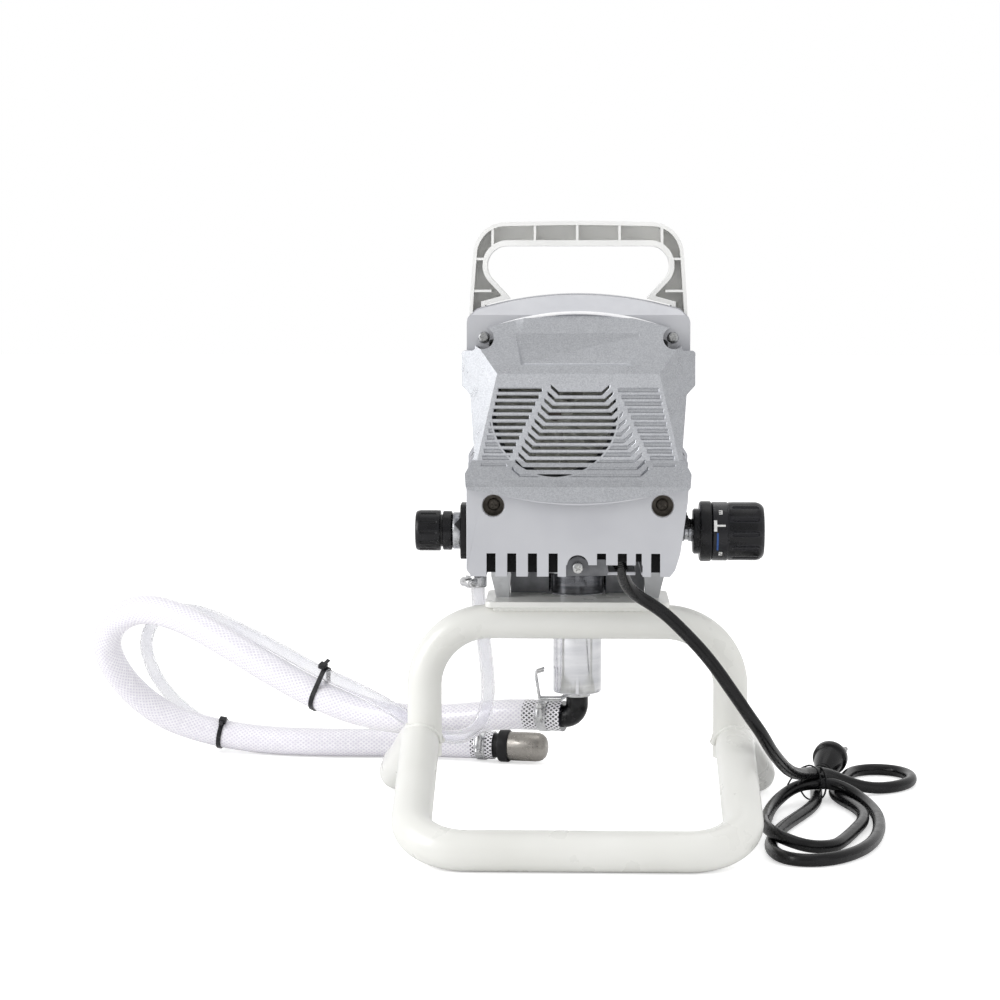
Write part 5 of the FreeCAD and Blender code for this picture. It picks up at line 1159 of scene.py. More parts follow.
well_profile = [(0, -2), (9.4, -2), (9.1, 0), (8.3, 1.1), (8.3, 12), (0, 12)]
screw_posts = [rod(f"screw_post_{x}", 10.3, (0, 14), place, depth_axis, 64) for x, place in cup_places]
screw_wells = [turned(f"screw_well_{x}", well_profile, place, depth_axis, 64) for x, place in cup_places]
carve(lower_shroud, [joined(screw_posts)], "UNION")
carve(lower_shroud, [joined(screw_wells)])
soften(lower_shroud, 1.1, 3, 40)
lip_line = []
for k in range(61):
    sag = 6.3 * (1 - (1 - k / 30) ** 2)
    lip_line.append(Vector((-53 + 106 * k / 60, -148.6, 288.5 - sag)) * mm)
lower_shroud = joined([lower_shroud, skin("shroud_lip", lip_line, 1.3 * mm, sides=12)])
fitted(lower_shroud, pale_plastic, ["lower_shroud"])
# Painted shade: a dark finish on a thin lining inside each screw cup and on the two screws deep in them,
# standing in for the shade in the cups.
cup_shade_paint = finish("painted_cup_shade", swatch(88, 82, 74), 0.5, 0.5)
mottle(cup_shade_paint, "Base Color", swatch(66, 61, 54), swatch(108, 102, 94), 0.006)
mottle(cup_shade_paint, "Roughness", 0.4, 0.6, 0.004)
relief(cup_shade_paint, grain(cup_shade_paint, 0.001), 0.00008, 0.5)
shade_lining_profile = [(8.25, 1.6), (8.25, 11.95), (0, 11.95), (0, 11.7), (7.9, 11.7), (7.9, 1.6), (8.25, 1.6)]
cups = [turned(f"cup_shade_lining_{x}", shade_lining_profile, place, depth_axis, 64) for x, place in cup_places]
fitted(joined(cups), cup_shade_paint, ["lower_shroud"])

# Shade screen: a sheet of dark open foam behind the comb, cut away where the power cord comes
# through. It is painted shade, standing in for the shade inside the shroud behind the comb.
shade_foam = finish("painted_shade_foam", swatch(14, 14, 15), 0.9)
mottle(shade_foam, "Base Color", swatch(8, 8, 9), swatch(20, 20, 22), 0.002)
mottle(shade_foam, "Roughness", 0.85, 0.98, 0.004)
relief(shade_foam, grain(shade_foam, 0.0012), 0.0004, 0.8)
screen = block("painted_shade_screen", (-77, 70), (-134.4, -132.4), (227.6, 248))
screen_gap = block("screen_gap", (14, 52), (-140, -130), (226, 236))
carve(screen, [screen_gap])
fitted(soften(screen, 0.6), shade_foam, ["lower_shroud"])

# Motor shroud: the upper moulding of the same plastic, with a sloping band on its near edge that
# shows as a pale arch behind the rear cover.
upper_shroud = slab("shroud_upper", shell_outer, (upper_near, shell_far))
planed(upper_shroud, (0, 0, shell_split), (0, 0, -1))
planed(upper_shroud, (0, -82, 444), (0, -18, 26))
upper_hollow = slab("upper_hollow", shell_inner, (upper_near + shell_wall, -10))
planed(upper_hollow, (0, -82, 440.5), (0, -18, 26))
carve(upper_shroud, [upper_hollow])
rear_corners = [
    (0, 436.4, 220), (79, 414, 3), (79.5, 399, 3), (90.5, 398.5, 2.5), (90.5, 372, 2.5), (83.5, 365, 2),
    (80, 318, 3), (87, 305, 3), (86, 293, 3), (0, 279.5, 300),
]
rear_corners += mirrored(rear_corners[1:-1])
rear_outer = rounded(rear_corners, 10)
opening_corners = [
    (0, 426.4, 210), (69.4, 406.2, 2), (69.6, 368, 0), (73.4, 362, 0), (70.2, 318, 0), (76, 303, 0),
    (76, 290, 0),
]
opening_corners += mirrored(opening_corners[1:])
rear_opening = slab("rear_opening", rounded(opening_corners), (-120, -100))
carve(upper_shroud, [rear_opening])
soften(upper_shroud, 0.8, 3, 40)
fitted(upper_shroud, pale_plastic, ["motor_shroud"])

# Fan: a moulded nylon fan on the motor's rear shaft end, nine skewed blades on a disc, seen only
# through the grille.
fan_plastic = finish("fan_nylon", swatch(206, 206, 196), 0.5)
mottle(fan_plastic, "Base Color", swatch(192, 192, 182), swatch(218, 218, 208), 0.014)
mottle(fan_plastic, "Roughness", 0.42, 0.6, 0.01)
relief(fan_plastic, grain(fan_plastic, 0.001), 0.00006, 0.4)
fan_centre = Vector((-0.018, 0, 0.350))
fan_near = -131
hub_profile = [
    (4.2, fan_near), (12.5, fan_near), (14, -129.5), (14, -119), (45.4, -119), (46, -118.4), (46, -117),
    (4.2, -117), (4.2, fan_near),
]
fan_hub = turned("fan_hub", hub_profile, fan_centre, depth_axis)
blade_middle = Matrix.Translation((0, -0.1245, 0))
blades = []
for k in range(9):
    angle = math.radians(40 * k)
    blade = block(f"fan_blade_{k}", (13, 44), (fan_near, -118), (-1, 1))
    lean = Matrix.Rotation(math.radians(24), 4, "X")
    blade.data.transform(blade_middle @ lean @ blade_middle.inverted())
    blade.data.transform(Matrix.Translation(fan_centre) @ Matrix.Rotation(-angle, 4, "Y"))
    blades.append(soften(blade, 0.5, 2))
fan = joined([fan_hub] + blades)
planed(fan, (0, fan_near, 0), (0, -1, 0))
fitted(fan, fan_plastic, ["cooling_fan"], body="rotor")

# Rear cover: a faceted moulding finished in metallic silver lacquer over the motor's fan end. Slots
# are cut through inside the fan's circle and run on outside it as blind grooves.
silver = finish("metallic_silver_lacquer", swatch(189, 191, 195), 0.34, 0.85)
mottle(silver, "Roughness", 0.26, 0.42, 0.01)
flake_tree = silver.node_tree
flake_place = wired(flake_tree, "ShaderNodeTexCoord")
flake_cells = {"Scale": 1400.0, "Vector": flake_place.outputs["Object"]}
flakes = wired(flake_tree, "ShaderNodeTexVoronoi", flake_cells)
flake_level = wired(flake_tree, "ShaderNodeSeparateColor", {0: flakes.outputs["Color"]})
flake_shade = ramped(silver, flake_level.outputs[0], swatch(178, 180, 185), swatch(201, 203, 207), 0.0, 1.0)
flake_tree.links.new(flake_shade, shader_of(silver).inputs["Base Color"])
relief(silver, flake_level.outputs[1], 0.00003, 0.16)
shader_of(silver).inputs["Coat Weight"].default_value = 0.3
shader_of(silver).inputs["Coat Roughness"].default_value = 0.15
cover_wall = 2.5
cover_top_y, cover_top_z = -113, 426
ridge_y, ridge_z = -150, 382
foot_y, foot_z = -141.5, 315
lip_y, lip_z = -150.5, 298
ridge_half_width = 62.0
foot_half_width = 77.6
grille_radius = 48.2
notch_radius = 8.3
upper_screw_x = 73.5
upper_screw_z = 408.5


def turned_outward(normal):
    """The direction of a face's normal that points to the near side, towards the camera."""
    return normal if normal.y < 0 else -normal


def cover_form(name, inset):
    """The cover's closed faceted form, every face drawn in by an inset in millimetres."""
    outline = drawn_in(rear_outer, inset) if inset > 0 else rear_outer
    ridge = Vector((0, ridge_y + inset, ridge_z))
    top = Vector((0, cover_top_y + inset, cover_top_z))
    foot = Vector((0, foot_y + inset, foot_z))
    lip = Vector((0, lip_y + inset, lip_z))
    along_x = Vector((1, 0, 0))
    main = slab(name, outline, (-162, upper_near + inset))
    planed(main, ridge, turned_outward((top - ridge).cross(along_x)))
    planed(main, foot, turned_outward((ridge - foot).cross(along_x)))
    for side in (-1, 1):
        corner = Vector((side * (ridge_half_width - inset * 0.4), ridge.y, ridge_z))
        lower = Vector((side * (foot_half_width - inset * 0.4), foot.y, foot_z))
        upper = Vector((side * (74.6 - inset * 0.4), top.y + (ridge.y - top.y) * 0.614, 399))
        planed(main, corner, turned_outward((lower - corner).cross(upper - corner)))
    planed(main, (0, 0, foot_z), (0, 0, -1))
    skirt = slab(name + "_skirt", outline, (-162, upper_near + inset))
    planed(skirt, (0, 0, foot_z), (0, 0, 1))
    planed(skirt, foot, turned_outward((foot - lip).cross(along_x)))
    planed(skirt, lip, (0, -1, 0))
    blend = turned_outward((foot - lip).cross(along_x)).normalized() + Vector((0, -1, 0))
    planed(skirt, lip + Vector((0, 0.7, 0)), blend)
    return carve(main, [skirt], "UNION")


cover = cover_form("cover_rear", 0.0)
cover_hollow = cover_form("cover_hollow", cover_wall)
planed(cover_hollow, (0, -142.5, ridge_z), (0, ridge_z - cover_top_z, cover_top_y - ridge_y))
carve(cover, [cover_hollow, block("cover_seat", (-200, 200), (lower_near, 0), (200, shell_split + 0.5))])
notches = []
for side in (-1, 1):
    upper_place = (side * upper_screw_x * mm, 0, upper_screw_z * mm)
    lower_place = (side * lower_screw_x * mm, 0, lower_screw_z * mm)
    notches.append(rod(f"upper_notch_{side}", notch_radius, (-160, -100), upper_place, depth_axis))
    notches.append(rod(f"lower_notch_{side}", notch_radius, (-165, upper_near), lower_place, depth_axis))
carve(cover, [joined(notches)])
soften(cover, 0.9, 3, 20)

# Grille: the cover's rows of left, middle and right slots, moulded with flared mouths. The middle
# ones turn up at both ends.
slot_pitch = 5.25
slot_half = 1.05
grille_top_z = 369.3
rows = [grille_top_z - slot_pitch * k for k in range(13)]


def face_depth(z):
    """Where the fan face lies at a height, in millimetres of Y."""
    if z < foot_z:
        return foot_y - (foot_z - z) * (foot_y - lip_y) / (foot_z - lip_z)
    return ridge_y + (ridge_z - z) * (foot_y - ridge_y) / (ridge_z - foot_z)


def slot_cutter(name, middle, half_height, depth):
    """A cutter for one slot: a flared mouth at the fan face, then straight walls inward."""
    count = len(middle)
    points = []
    for reach, spread in ((-0.5, 1.15), (0.0, 0.8), (0.25, 0.35), (0.9, 0.0), (depth, 0.0)):
        for edge in (-1, 1):
            for k, (x, z) in enumerate(middle):
                stretch = 0.0
                if k == 0:
                    stretch = -spread
                if k == count - 1:
                    stretch = spread
                height = z + edge * (half_height + spread)
                points.append(((x + stretch) * mm, (face_depth(z) + reach) * mm, height * mm))
    faces = []
    ring = [(0, k) for k in range(count)] + [(1, k) for k in range(count - 1, -1, -1)]
    for level in range(4):
        for here, there in zip(ring, ring[1:] + ring[:1]):
            low = (level * 2 + here[0]) * count + here[1]
            low_next = (level * 2 + there[0]) * count + there[1]
            faces.append((low, low_next, low_next + 2 * count, low + 2 * count))
    for level in (0, 4):
        for k in range(count - 1):
            a = level * 2 * count + k
            faces.append((a, a + 1, a + count + 1, a + count))
    return faced_outward(built(name, points, faces))


def bent_middle(half, z):
    """The four corners of a middle slot's line, level between its ends and rising at both."""
    rise = 5.6
    middle = 1.5
    left, right = middle - half, middle + half
    return [(left - rise, z + rise), (left, z), (right, z), (right + rise, z + rise)]


slot_middles = []
for z in rows:
    bar = 28.0 + (grille_top_z - z) * 0.473
    margin = 58.0 + (ridge_z - z) * 0.232
    if z > 310:
        slot_middles.append([(-margin, z), (-bar, z)])
        slot_middles.append([(bar + 3.0, z), (margin, z)])
    slot_middles.append(bent_middle(bar - 11.5, z - 2.6))
circle_place = (-0.018, 0, 0.351)
grille_reach = (-170, -110)
fan_circle = rod("fan_circle", grille_radius, grille_reach, circle_place, depth_axis, 144)
groove_edge = rod("groove_edge", 49.6, grille_reach, circle_place, depth_axis, 144)
deep_slots = []
shallow_slots = []
for k, middle in enumerate(slot_middles):
    deep_slots.append(slot_cutter(f"slot_deep_{k}", middle, slot_half, 12.0))
    shallow_slots.append(slot_cutter(f"slot_shallow_{k}", middle, slot_half, 1.6))
deep_slots = joined(deep_slots)
shallow_slots = joined(shallow_slots)
carve(deep_slots, [fan_circle], "INTERSECT")
carve(shallow_slots, [groove_edge])
carve(cover, [deep_slots])
carve(cover, [shallow_slots])

# Recess: a shallow trapezoid moulded into the cover's upper face. Its floor sinks deeper towards the
# lower edge, between sloping side walls.
recess_mouth = [(-49, 412.5), (48, 412.5), (43.5, 388), (-44.0, 388)]
recess_floor = [(-47.6, 411.0), (46.5, 411.0), (36.5, 389.2), (-41.6, 389.2)]
recess_depths = (0.8, 0.8, 4.6, 4.6)
ridge_slope = (cover_top_y - ridge_y) / (cover_top_z - ridge_z)
recess_points = []
for corners, sunk in ((recess_mouth, False), (recess_floor, True)):
    for (x, z), depth in zip(corners, recess_depths):
        y = ridge_y + (z - ridge_z) * ridge_slope
        recess_points.append(Vector((x, y + depth, z)) * mm if sunk else Vector((x, y, z)) * mm)
recess_lid = [point + Vector((0, -4 * mm, 3 * mm)) for point in recess_points[:4]]
recess_faces = [(0, 1, 2, 3), (11, 10, 9, 8)]
for low, high in ((0, 4), (4, 8)):
    recess_faces += [(low + k, low + (k + 1) % 4, high + (k + 1) % 4, high + k) for k in range(4)]
recess = faced_outward(built("cover_recess", recess_lid + recess_points, recess_faces))
soften(recess, 0.6, 2)
carve(cover, [recess])
cover.data.shade_smooth()
cover.data.set_sharp_from_angle(angle=math.radians(28))
flat_panels(cover)
fitted(cover, silver, ["rear_cover"])

# Rim: the thin rounded lip of the motor shroud's moulding that frames the top of the rear cover. Its
# near-white finish is a painted highlight along the lip.
rim_line = []
for k in range(61):
    x = -68.5 + 137 * k / 60
    rim_line.append(Vector((x, -113.6, 427.8 - 191.6 + math.sqrt(191.6**2 - x**2))) * mm)
# The rim's near-white colour is a painted highlight, lighter than the shroud's own plastic.
rim_highlight_paint = finish("painted_highlight_rim", swatch(246, 246, 247), 0.28)
mottle(rim_highlight_paint, "Base Color", swatch(242, 242, 244), swatch(249, 249, 249), 0.02)
mottle(rim_highlight_paint, "Roughness", 0.22, 0.36, 0.004)
relief(rim_highlight_paint, grain(rim_highlight_paint, 0.001), 0.00003, 0.4)
rim = skin("shroud_rim", rim_line, 1.3 * mm, sides=16)
fitted(rim, rim_highlight_paint, ["motor_shroud"])

# Front cover: the far half of the body, the same pale plastic. It has a port for the rocker switch,
# five vents and a slot on each side for the handle's legs.
front_half_width = 90.5
front_far = 98
front_outer = rounded(shell_corners(front_half_width), 12)
front_cover = slab("cover_front", front_outer, (shell_far, front_far))
front_inner = drawn_in(front_outer, shell_wall)
front_hollow = slab("front_hollow", front_inner, (shell_far - 1, front_far - shell_wall))
for part, inset in ((front_cover, 0.0), (front_hollow, shell_wall)):
    planed(part, (0, 60 - inset, 444 - inset), (0, 40, 38))
    for side in (-1, 1):
        planed(part, (side * (front_half_width - inset * 1.3), 66, 0), (side * 26, 20, 0))
planed(front_cover, (0, 0, 262), (0, 0, -1))
carve(front_cover, [front_hollow])
front_cuts = [
    block("switch_port", (31, 59), (90, 100), (319, 341)),
    block("loom_port", (75, 100), (14, 30), (255, 272)),
]
for side in (-1, 1):
    front_cuts.append(block(f"leg_slot_{side}", sorted((side * 75.5, side * 120)), (-10.5, 20.5), (393, 460)))
for k in range(5):
    front_cuts.append(block(f"front_vent_{k}", (-44, 6), (90, 100), (385 - 9 * k, 389 - 9 * k)))
carve(front_cover, [joined(front_cuts)])
soften(front_cover, 0.8, 3, 40)
fitted(front_cover, pale_plastic, ["front_cover"])

# Switch: a black moulded body with a thin bezel, snapped into the port of the far face from outside.
# It is hollow where the rocker sits.
bezel = slab("switch_bezel", rounded([(29, 317, 3), (61, 317, 3), (61, 343, 3), (29, 343, 3)]), (98, 100))
switch_well = block("switch_well", (33, 57), (87, 101), (321, 339))
switch_body = block("switch_body", (31.5, 58.5), (78, 99), (319.5, 340.5))
carve(bezel, [switch_body], "UNION")
carve(bezel, [switch_well])
fitted(soften(bezel, 0.5), cap_plastic, ["power_switch"])

# Screws: five pan-head steel screws with a cross recess. The bracket's and the upper two are zinc
# plated, and the lower two, deep in their cups, are drawn dark as painted shade.
def cross_screw(name, x, z, y, radius):
    """A pan-head screw seen from the near side, its head standing 2.4 mm off its seat."""
    seat = Vector((x * mm, y * mm, z * mm))
    profile = [
        (0, -2.4), (radius * 0.55, -2.4), (radius * 0.85, -1.9), (radius, -0.9), (radius, 0), (1.9, 0),
        (1.9, 8), (0, 8),
    ]
    head = turned(name, profile, seat, depth_axis, 48)
    arm = radius * 0.62
    lean = math.radians(14 if x < 0 else 29)
    for k in range(2):
        cut = block(f"{name}_cross_{k}", (-arm, arm), (-3.2, -0.9), (-0.55, 0.55))
        cut.data.transform(Matrix.Translation(seat) @ Matrix.Rotation(lean + math.pi / 2 * k, 4, "Y"))
        carve(head, [cut])
    return soften(head, 0.2, 2)


screws = [cross_screw("bracket_screw", 0, 231.8, -141, 4.2)]
for side in (-1, 1):
    screws.append(cross_screw(f"upper_screw_{side}", side * upper_screw_x, upper_screw_z, upper_near, 4.5))
fitted(joined(screws), zinc, ["shroud_screws"])
# The lower two take the cups' dark finish as painted shade.
deep_screws = []
for side in (-1, 1):
    deep_screws.append(cross_screw(f"lower_screw_{side}", side * lower_screw_x, lower_screw_z, -129, 4.8))
fitted(joined(deep_screws), cup_shade_paint, ["shroud_screws"])

# Handle: one moulded arch of pale plastic, an open channel on the near side with ribs across it. Its
# legs go down into the front cover's slots.
handle_plastic = finish("handle_plastic", swatch(238, 238, 236), 0.4)
mottle(handle_plastic, "Base Color", swatch(234, 234, 232), swatch(242, 242, 240), 0.04, (1, 1, 1), 2.0)
mottle(handle_plastic, "Roughness", 0.34, 0.48, 0.005)
relief(handle_plastic, grain(handle_plastic, 0.0008), 0.00007, 0.5)
handle_half_width = 89
leg_inside = 76
handle_foot_z = 407
outer_left = [(-handle_half_width, handle_foot_z, 0), (-handle_half_width, 430, 200), (-84, 499.4, 27)]
outer_right = mirrored(outer_left)
inner_right = [
    (leg_inside, handle_foot_z, 0), (leg_inside, 432.5, 0), (56, 437.5, 0), (58, 440.5, 6), (75, 458.5, 16),
    (73.5, 480.5, 16),
]
inner_left = mirrored(inner_right)
handle_corners = outer_left + [(0, 501, 700)] + outer_right + inner_right + inner_left
handle_outline = rounded(handle_corners, 10)
handle_y = (-10, 20)
rib_y = (-9.4, 20)
handle = slab("handle_arch", handle_outline, handle_y)
handle_form = slab("handle_form", handle_outline, rib_y)
pocket_right = [
    (81.2, 496.2, 23.5), (86.2, 430, 200), (86.2, 409.6, 0), (79.4, 409.6, 0), (79.4, 435.4, 0),
    (62.2, 440.0, 1.0), (78.6, 457.5, 18.6), (76.9, 485.2, 20.0),
]
pocket_corners = [(0, 497.7, 700)] + pocket_right + mirrored(pocket_right)
handle_pocket = slab("handle_pocket", rounded(pocket_corners, 10), (-12, 8))
rib_places = (-70, -35.5, -1, 33.5, 68)
ribs = [block(f"handle_rib_{x}", (x - 1, x + 1), rib_y, (477.5, 504)) for x in rib_places]
for z in (444, 470):
    ribs.append(block(f"side_rib_left_{z}", (-90, -71), rib_y, (z - 1, z + 1)))
    ribs.append(block(f"side_rib_right_{z}", (71, 90), rib_y, (z - 1, z + 1)))
for side in (-1, 1):
    leg_x = sorted((side * leg_inside, side * handle_half_width))
    ribs.append(block(f"handle_foot_{side}", leg_x, handle_y, (handle_foot_z, handle_foot_z + 6)))
ribs = joined(ribs)
carve(ribs, [handle_form], "INTERSECT")
carve(handle, [handle_pocket])
carve(handle, [ribs], "UNION")
soften(handle, 0.5, 2)
fitted(handle, handle_plastic, ["handle"])

# Prime valve: a black flange on the casting's left end, a bright ring with a pointer that shows the
# valve's place, and a ribbed black knob that turns a quarter turn.
valve_axis = Vector((-1, 0, 0))
flange_face = 97.7
flange_outline = rounded([(-17, -23, 8), (17, -23, 8), (17, 23, 8), (-17, 23, 8)])
valve_flange = slab("valve_flange", flange_outline, (-casting_x[0], flange_face))
valve_flange.data.transform(Matrix.Translation(valve_line) @ Matrix.Rotation(math.radians(90), 4, "Z"))
carve(valve_flange, [rod("flange_bore", 5.2, (90, 100), valve_line, valve_axis, 32)])
fitted(soften(valve_flange, 0.8, 3), cap_plastic, ["valve_flange"])
index_profile = [
    (5.2, flange_face), (15.5, flange_face), (15.5, 103.4), (15.0, 104.4), (14.4, 104.7), (5.2, 104.7),
    (5.2, flange_face),
]
index_ring = turned("valve_index", index_profile, valve_line, valve_axis)
pointer_outline = [(-flange_face, 255.8), (-flange_face, 244.8), (-102.6, 250.3)]
pointer = slab("valve_pointer", pointer_outline, (10.6, 13.4))
fitted(soften(pointer, 0.3), cap_plastic, ["valve_flange"])
fitted(soften(index_ring, 0.4), machined, ["valve_index_ring"])


def grip_cuts(name, base, axis, count, radius, reach, start, stop):
    """Round cutters set evenly round an axis, for the grooves of a grip."""
    turn = Vector(axis).normalized().to_track_quat("Z", "Y")
    cutters = []
    for k in range(count):
        angle = 2 * math.pi * k / count
        spot = Vector(base) + turn @ (Vector((math.cos(angle), math.sin(angle), 0)) * reach * mm)
        profile = [
            (0, start), (radius * 0.5, start), (radius, start + radius * 0.6),
            (radius, stop - radius * 0.6), (radius * 0.5, stop), (0, stop),
        ]
        cutters.append(turned(f"{name}_{k}", profile, spot, axis, 20))
    return joined(cutters)


prime_profile = [
    (0, 105.1), (15.8, 105.1), (16.4, 105.7), (16.4, 112.0), (15.8, 112.6), (13.5, 112.6), (13.5, 114.6),
    (16.4, 114.6), (17.0, 115.2), (17.0, 132.0), (16.4, 134.2), (15.4, 135.2), (13.6, 135.6), (0, 135.6),
]
prime_knob = turned("prime_grip", prime_profile, valve_line, valve_axis, 96)
carve(prime_knob, [grip_cuts("prime_groove", valve_line, valve_axis, 12, 1.8, 18.0, 117.1, 132.1)])
prime_mark = rod("prime_mark", 1.2, (134.9, 137), (0, 0.028, 0.2555), valve_axis, 20)
carve(prime_knob, [prime_mark])
fitted(soften(prime_knob, 0.3), gloss_black, ["prime_knob"], body="prime_knob")

# Drain barb: a small hexagon fitting of plated steel, screwed up into the casting under the prime
# valve, with a ribbed spigot for the return tube.
drain_x, drain_y = return_route[0][:2]
drain_base = (drain_x, drain_y, 0.0)
drain_hex = hex_head("drain_hex", (drain_x, drain_y, 0.2305), (0, 0, -1), 16.0, 7.0)
drain_profile = [(2.2, 224)]
for k in range(3):
    drain_profile += [(3.7, 218.5 - 6 * k + 4.9), (4.4, 217.6 - 6 * k)]
drain_profile += [(3.6, 205), (3.4, 202.5), (2.2, 202.5), (2.2, 224)]
drain_tail = turned("drain_tail", drain_profile, drain_base, up_axis, 36)
fitted(soften(joined([drain_hex, drain_tail]), 0.25), machined, ["drain_barb"])

# Pressure control: a plated neck and a round black housing on the casting's right end, with a ribbed
# sleeve on its cable to the motor.
control_profile = [
    (6.7, 96), (17.6, 96), (19, 97.2), (19, 101.5), (23.8, 101.5), (25.2, 102.8), (25.2, 110.4),
    (24.0, 111.6), (12, 111.6), (12, 122), (0, 122),
]
control = turned("control_housing", control_profile, valve_line, width_axis, 96)
neck_profile = [
    (0, 70), (6.7, 70), (6.7, 82), (8.6, 82), (8.6, 88.6), (7.4, 89.2), (7.4, 92), (8.6, 92.6), (8.6, 96.2),
    (0, 96.2),
]
control_neck = turned("control_neck", neck_profile, valve_line, width_axis, 56)
fitted(soften(control, 0.3), gloss_black, ["control_body"])
fitted(soften(control_neck, 0.2), machined, ["control_body"])
sleeve_line = bent_line([(96, 18.5, 251), (90, 18.5, 251), (85.5, 19, 263), (72, 20, 268)], [5.0, 8.0], 12)
sleeve_fine = []
for before, after in zip(sleeve_line, sleeve_line[1:]):
    for k in range(4):
        point = before + (after - before) * k / 4
        if not sleeve_fine or (point - sleeve_fine[-1]).length > 1e-5:
            sleeve_fine.append(point)
sleeve_reach = 0.0
sleeve_radii = []
for k, point in enumerate(sleeve_fine):
    sleeve_reach += (point - sleeve_fine[k - 1]).length if k else 0.0
    sleeve_radii.append((3.75 + 0.3 * math.sin(sleeve_reach / mm * 2.6)) * mm)
control_sleeve = skin("control_sleeve", sleeve_fine, sleeve_radii, sides=28)
fitted(control_sleeve, rubber, ["control_cable"])

# Pressure knob: a grey-silver scale band with white marks and a thin blue line, and a black ribbed
# grip. It turns three quarters of a turn.
band_radius = 24.6
knob_profile = [
    (12.2, 112.0), (24.0, 112.0), (24.6, 112.6), (24.6, 124.2), (23.9, 124.9), (23.9, 125.6), (24.3, 126.4),
    (24.3, 148.6), (23.6, 151.4), (22.2, 153.6), (20.4, 155.0), (0, 155.0), (0, 122.6), (12.2, 122.6),
    (12.2, 112.0),
]
knob = turned("pressure_grip", knob_profile, valve_line, width_axis, 128)
carve(knob, [grip_cuts("pressure_groove", valve_line, width_axis, 12, 2.6, 25.6, 127.7, 151.6)])
dish_profile = [(0, 154.2), (17.2, 154.2), (18.2, 156.6), (0, 156.6)]
knob_dish = turned("knob_dish", dish_profile, valve_line, width_axis, 90)
carve(knob, [knob_dish])
fitted(soften(knob, 0.3), gloss_black, ["pressure_knob"], body="pressure_knob")
white_ink = finish("white_print", swatch(236, 236, 234), 0.45)
mottle(white_ink, "Base Color", swatch(226, 226, 224), swatch(243, 243, 241), 0.003)
mottle(white_ink, "Roughness", 0.38, 0.55, 0.002)
relief(white_ink, grain(white_ink, 0.0006), 0.00002, 0.3)
blue_ink = finish("blue_print", swatch(44, 88, 160), 0.4)
mottle(blue_ink, "Base Color", swatch(38, 78, 148), swatch(52, 98, 170), 0.003)
mottle(blue_ink, "Roughness", 0.34, 0.5, 0.002)
relief(blue_ink, grain(blue_ink, 0.0006), 0.00002, 0.3)


def wrapped_mark(name, x, turn):
    """A thin printed patch on the scale band between two values of X and two angles in degrees."""
    steps = max(2, round(abs(turn[1] - turn[0]) / 3))
    points = []
    for k in range(steps + 1):
        angle = math.radians(turn[0] + (turn[1] - turn[0]) * k / steps)
        for reach in (band_radius - 0.05, band_radius + 0.12):
            y = valve_line[1] - reach * math.cos(angle) * mm
            z = valve_line[2] + reach * math.sin(angle) * mm
            points += [(edge * mm, y, z) for edge in x]
    faces = [(0, 1, 3, 2)]
    for k in range(steps):
        a = 4 * k
        b = a + 4
        faces += [(a, a + 1, b + 1, b), (a + 1, a + 3, b + 3, b + 1)]
        faces += [(a + 3, a + 2, b + 2, b + 3), (a + 2, a, b, b + 2)]
    faces.append((4 * steps, 4 * steps + 2, 4 * steps + 3, 4 * steps + 1))
    return faced_outward(built(name, points, faces))


white_marks = [
    wrapped_mark("setting_bar", (112.8, 115.4), (5, 27)),
    wrapped_mark("setting_line", (115.4, 122.4), (14.4, 18.2)),
]
numeral_rows = {
    "1": (" # ", "## ", " # ", " # ", "###"),
    "2": ("###", "  #", "###", "#  ", "###"),
    "3": ("###", "  #", "###", "  #", "###"),
    "4": ("# #", "# #", "###", "  #", "  #"),
}
for numeral, middle in (("3", 43), ("2", -46), ("1", -100), ("4", 100)):
    for row, cells in enumerate(numeral_rows[numeral]):
        for column, cell in enumerate(cells):
            if cell == "#":
                turn = middle + 5.0 - 2.0 * row
                x = 117.0 + 1.0 * column
                name = f"numeral_{numeral}_{row}_{column}"
                white_marks.append(wrapped_mark(name, (x, x + 1.02), (turn, turn + 2.04)))
white_marks = joined(white_marks)
fitted(white_marks, white_ink, ["pressure_knob"], body="pressure_knob")
blue_line = wrapped_mark("scale_line", (115.2, 116.6), (-34, 2))
fitted(blue_line, blue_ink, ["pressure_knob"], body="pressure_knob")

# Outlet fitting: the plated steel nipple with its hexagon, screwed into the far side. The spray hose
# goes on its thread.
outlet_base = (0, 0, 0.222)
outlet_hex = hex_head("outlet_hex", (0, 0.088, 0.222), (0, 1, 0), 21.0, 8.0)
outlet_profile = [(2.5, 95), (6.0, 95), (6.6, 96)]
for k in range(9):
    outlet_profile += [(6.6, 97.0 + 1.3 * k), (6.05, 97.65 + 1.3 * k)]
outlet_profile += [(6.4, 109.2), (5.6, 110), (2.5, 110), (2.5, 95)]
outlet_nipple = turned("outlet_nipple", outlet_profile, outlet_base, depth_axis, 56)
fitted(soften(joined([outlet_hex, outlet_nipple]), 0.2), machined, ["outlet_fitting"])

# Rocker: the switch's see-saw key, a short round-bellied bar moulded in gloss black with one sunk
# mark. It rocks through 18 degrees on a pin in the switch's body.
rocker = rod("rocker_key", 8.0, (33.4, 56.6), (0, 0.096, 0.330), width_axis, 64)
rocker_limits = block("rocker_limits", (25, 65), (90, 128), (321.4, 338.6))
carve(rocker, [rocker_limits], "INTERSECT")
planed(rocker, (45, 101, 330), (0, 1, 0.16))
rocker_mark = block("rocker_mark", (43.6, 46.4), (98, 103), (331.5, 336.0))
planed(rocker_mark, (45, 100.6, 330), (0, -1, -0.16))
carve(rocker, [rocker_mark])
fitted(soften(rocker, 0.4), gloss_black, ["switch_rocker"], body="switch_rocker")

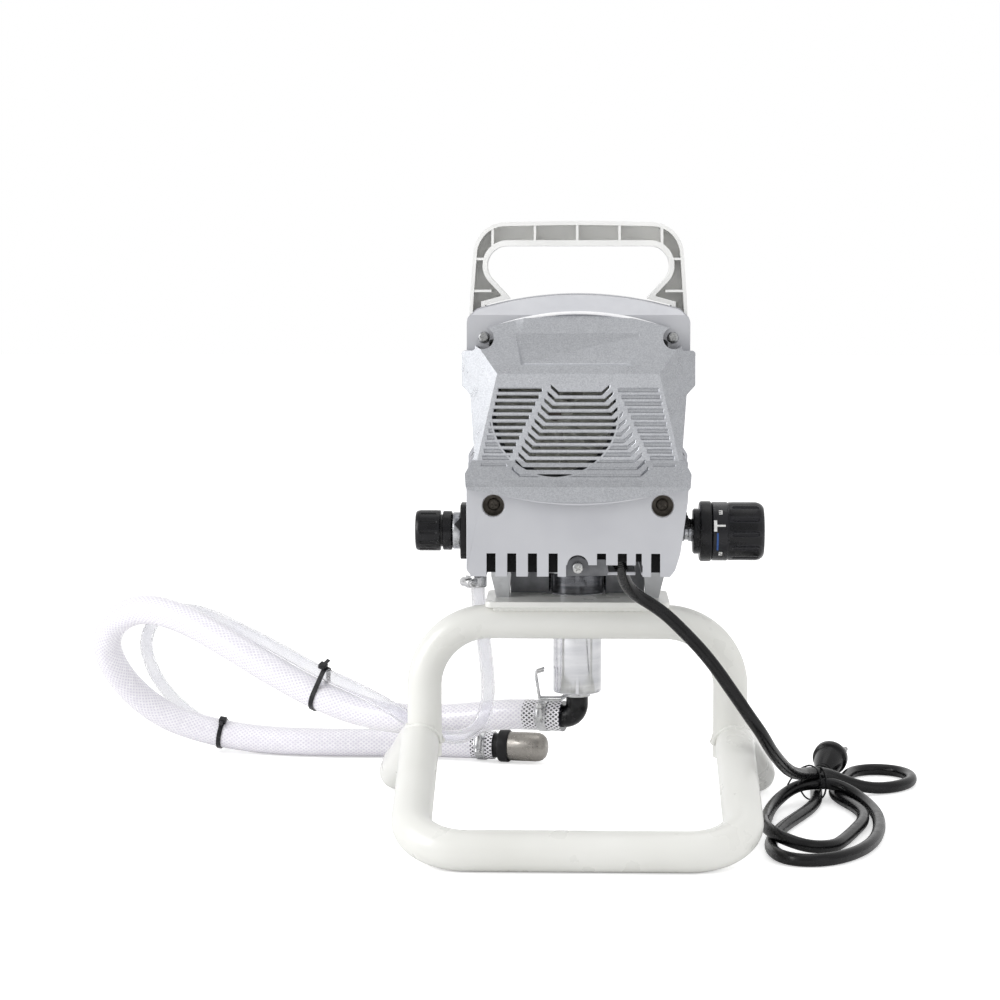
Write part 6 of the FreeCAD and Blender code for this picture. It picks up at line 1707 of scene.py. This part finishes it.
# Motor and drive: the inner pieces keep the shapes that they have in the assembly, and each gets its
# own metal, enamel or plastic. Little of them shows, through the grille, the comb and the vents.
stator_iron = finish("laminated_iron", swatch(112, 104, 96), 0.45, 0.8)
mottle(stator_iron, "Base Color", swatch(96, 89, 82), swatch(132, 124, 116), 0.02, (1, 40, 1))
mottle(stator_iron, "Roughness", 0.36, 0.56, 0.01, (1, 30, 1))
relief(stator_iron, grain(stator_iron, 0.02, (1, 60, 1), 1.0), 0.00008, 0.6)
ground_steel = finish("ground_steel", swatch(196, 197, 200), 0.22, 1.0)
mottle(ground_steel, "Base Color", swatch(182, 183, 187), swatch(210, 210, 212), 0.01)
mottle(ground_steel, "Roughness", 0.14, 0.3, 0.004, (1, 20, 1))
relief(ground_steel, grain(ground_steel, 0.01, (1, 40, 1)), 0.00003, 0.4)
gear_steel = finish("oiled_gear_steel", swatch(126, 124, 120), 0.3, 1.0)
mottle(gear_steel, "Base Color", swatch(104, 101, 96), swatch(150, 148, 143), 0.01)
mottle(gear_steel, "Roughness", 0.2, 0.42, 0.006)
relief(gear_steel, grain(gear_steel, 0.0015), 0.00004, 0.5)
packing = finish("packing_polymer", swatch(196, 172, 128), 0.5)
mottle(packing, "Base Color", swatch(184, 160, 118), swatch(208, 186, 142), 0.006)
mottle(packing, "Roughness", 0.42, 0.6, 0.004)
relief(packing, grain(packing, 0.0008), 0.00006, 0.5)
inner_finishes = {
    "motor_case": dark_steel,
    "stator": stator_iron,
    "rotor": stator_iron,
    "motor_bearings": ground_steel,
    "motor_bracket": dark_steel,
    "drive_housing": cast,
    "bearing_plate": cast,
    "intermediate_gear": gear_steel,
    "intermediate_shaft": ground_steel,
    "crank_gear": gear_steel,
    "crankshaft": gear_steel,
    "crank_bearings": ground_steel,
    "drive_yoke": gear_steel,
    "piston_rod": ground_steel,
    "outlet_ball": ground_steel,
    "piston_seals": packing,
    "rod_packing": packing,
    "packing_nut": machined,
    "inlet_seat": ground_steel,
    "inlet_ball": ground_steel,
    "housing_bolts": zinc,
}
for node, surface in inner_finishes.items():
    inner_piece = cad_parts[node]
    for place in inner_piece.material_slots:
        place.material = surface
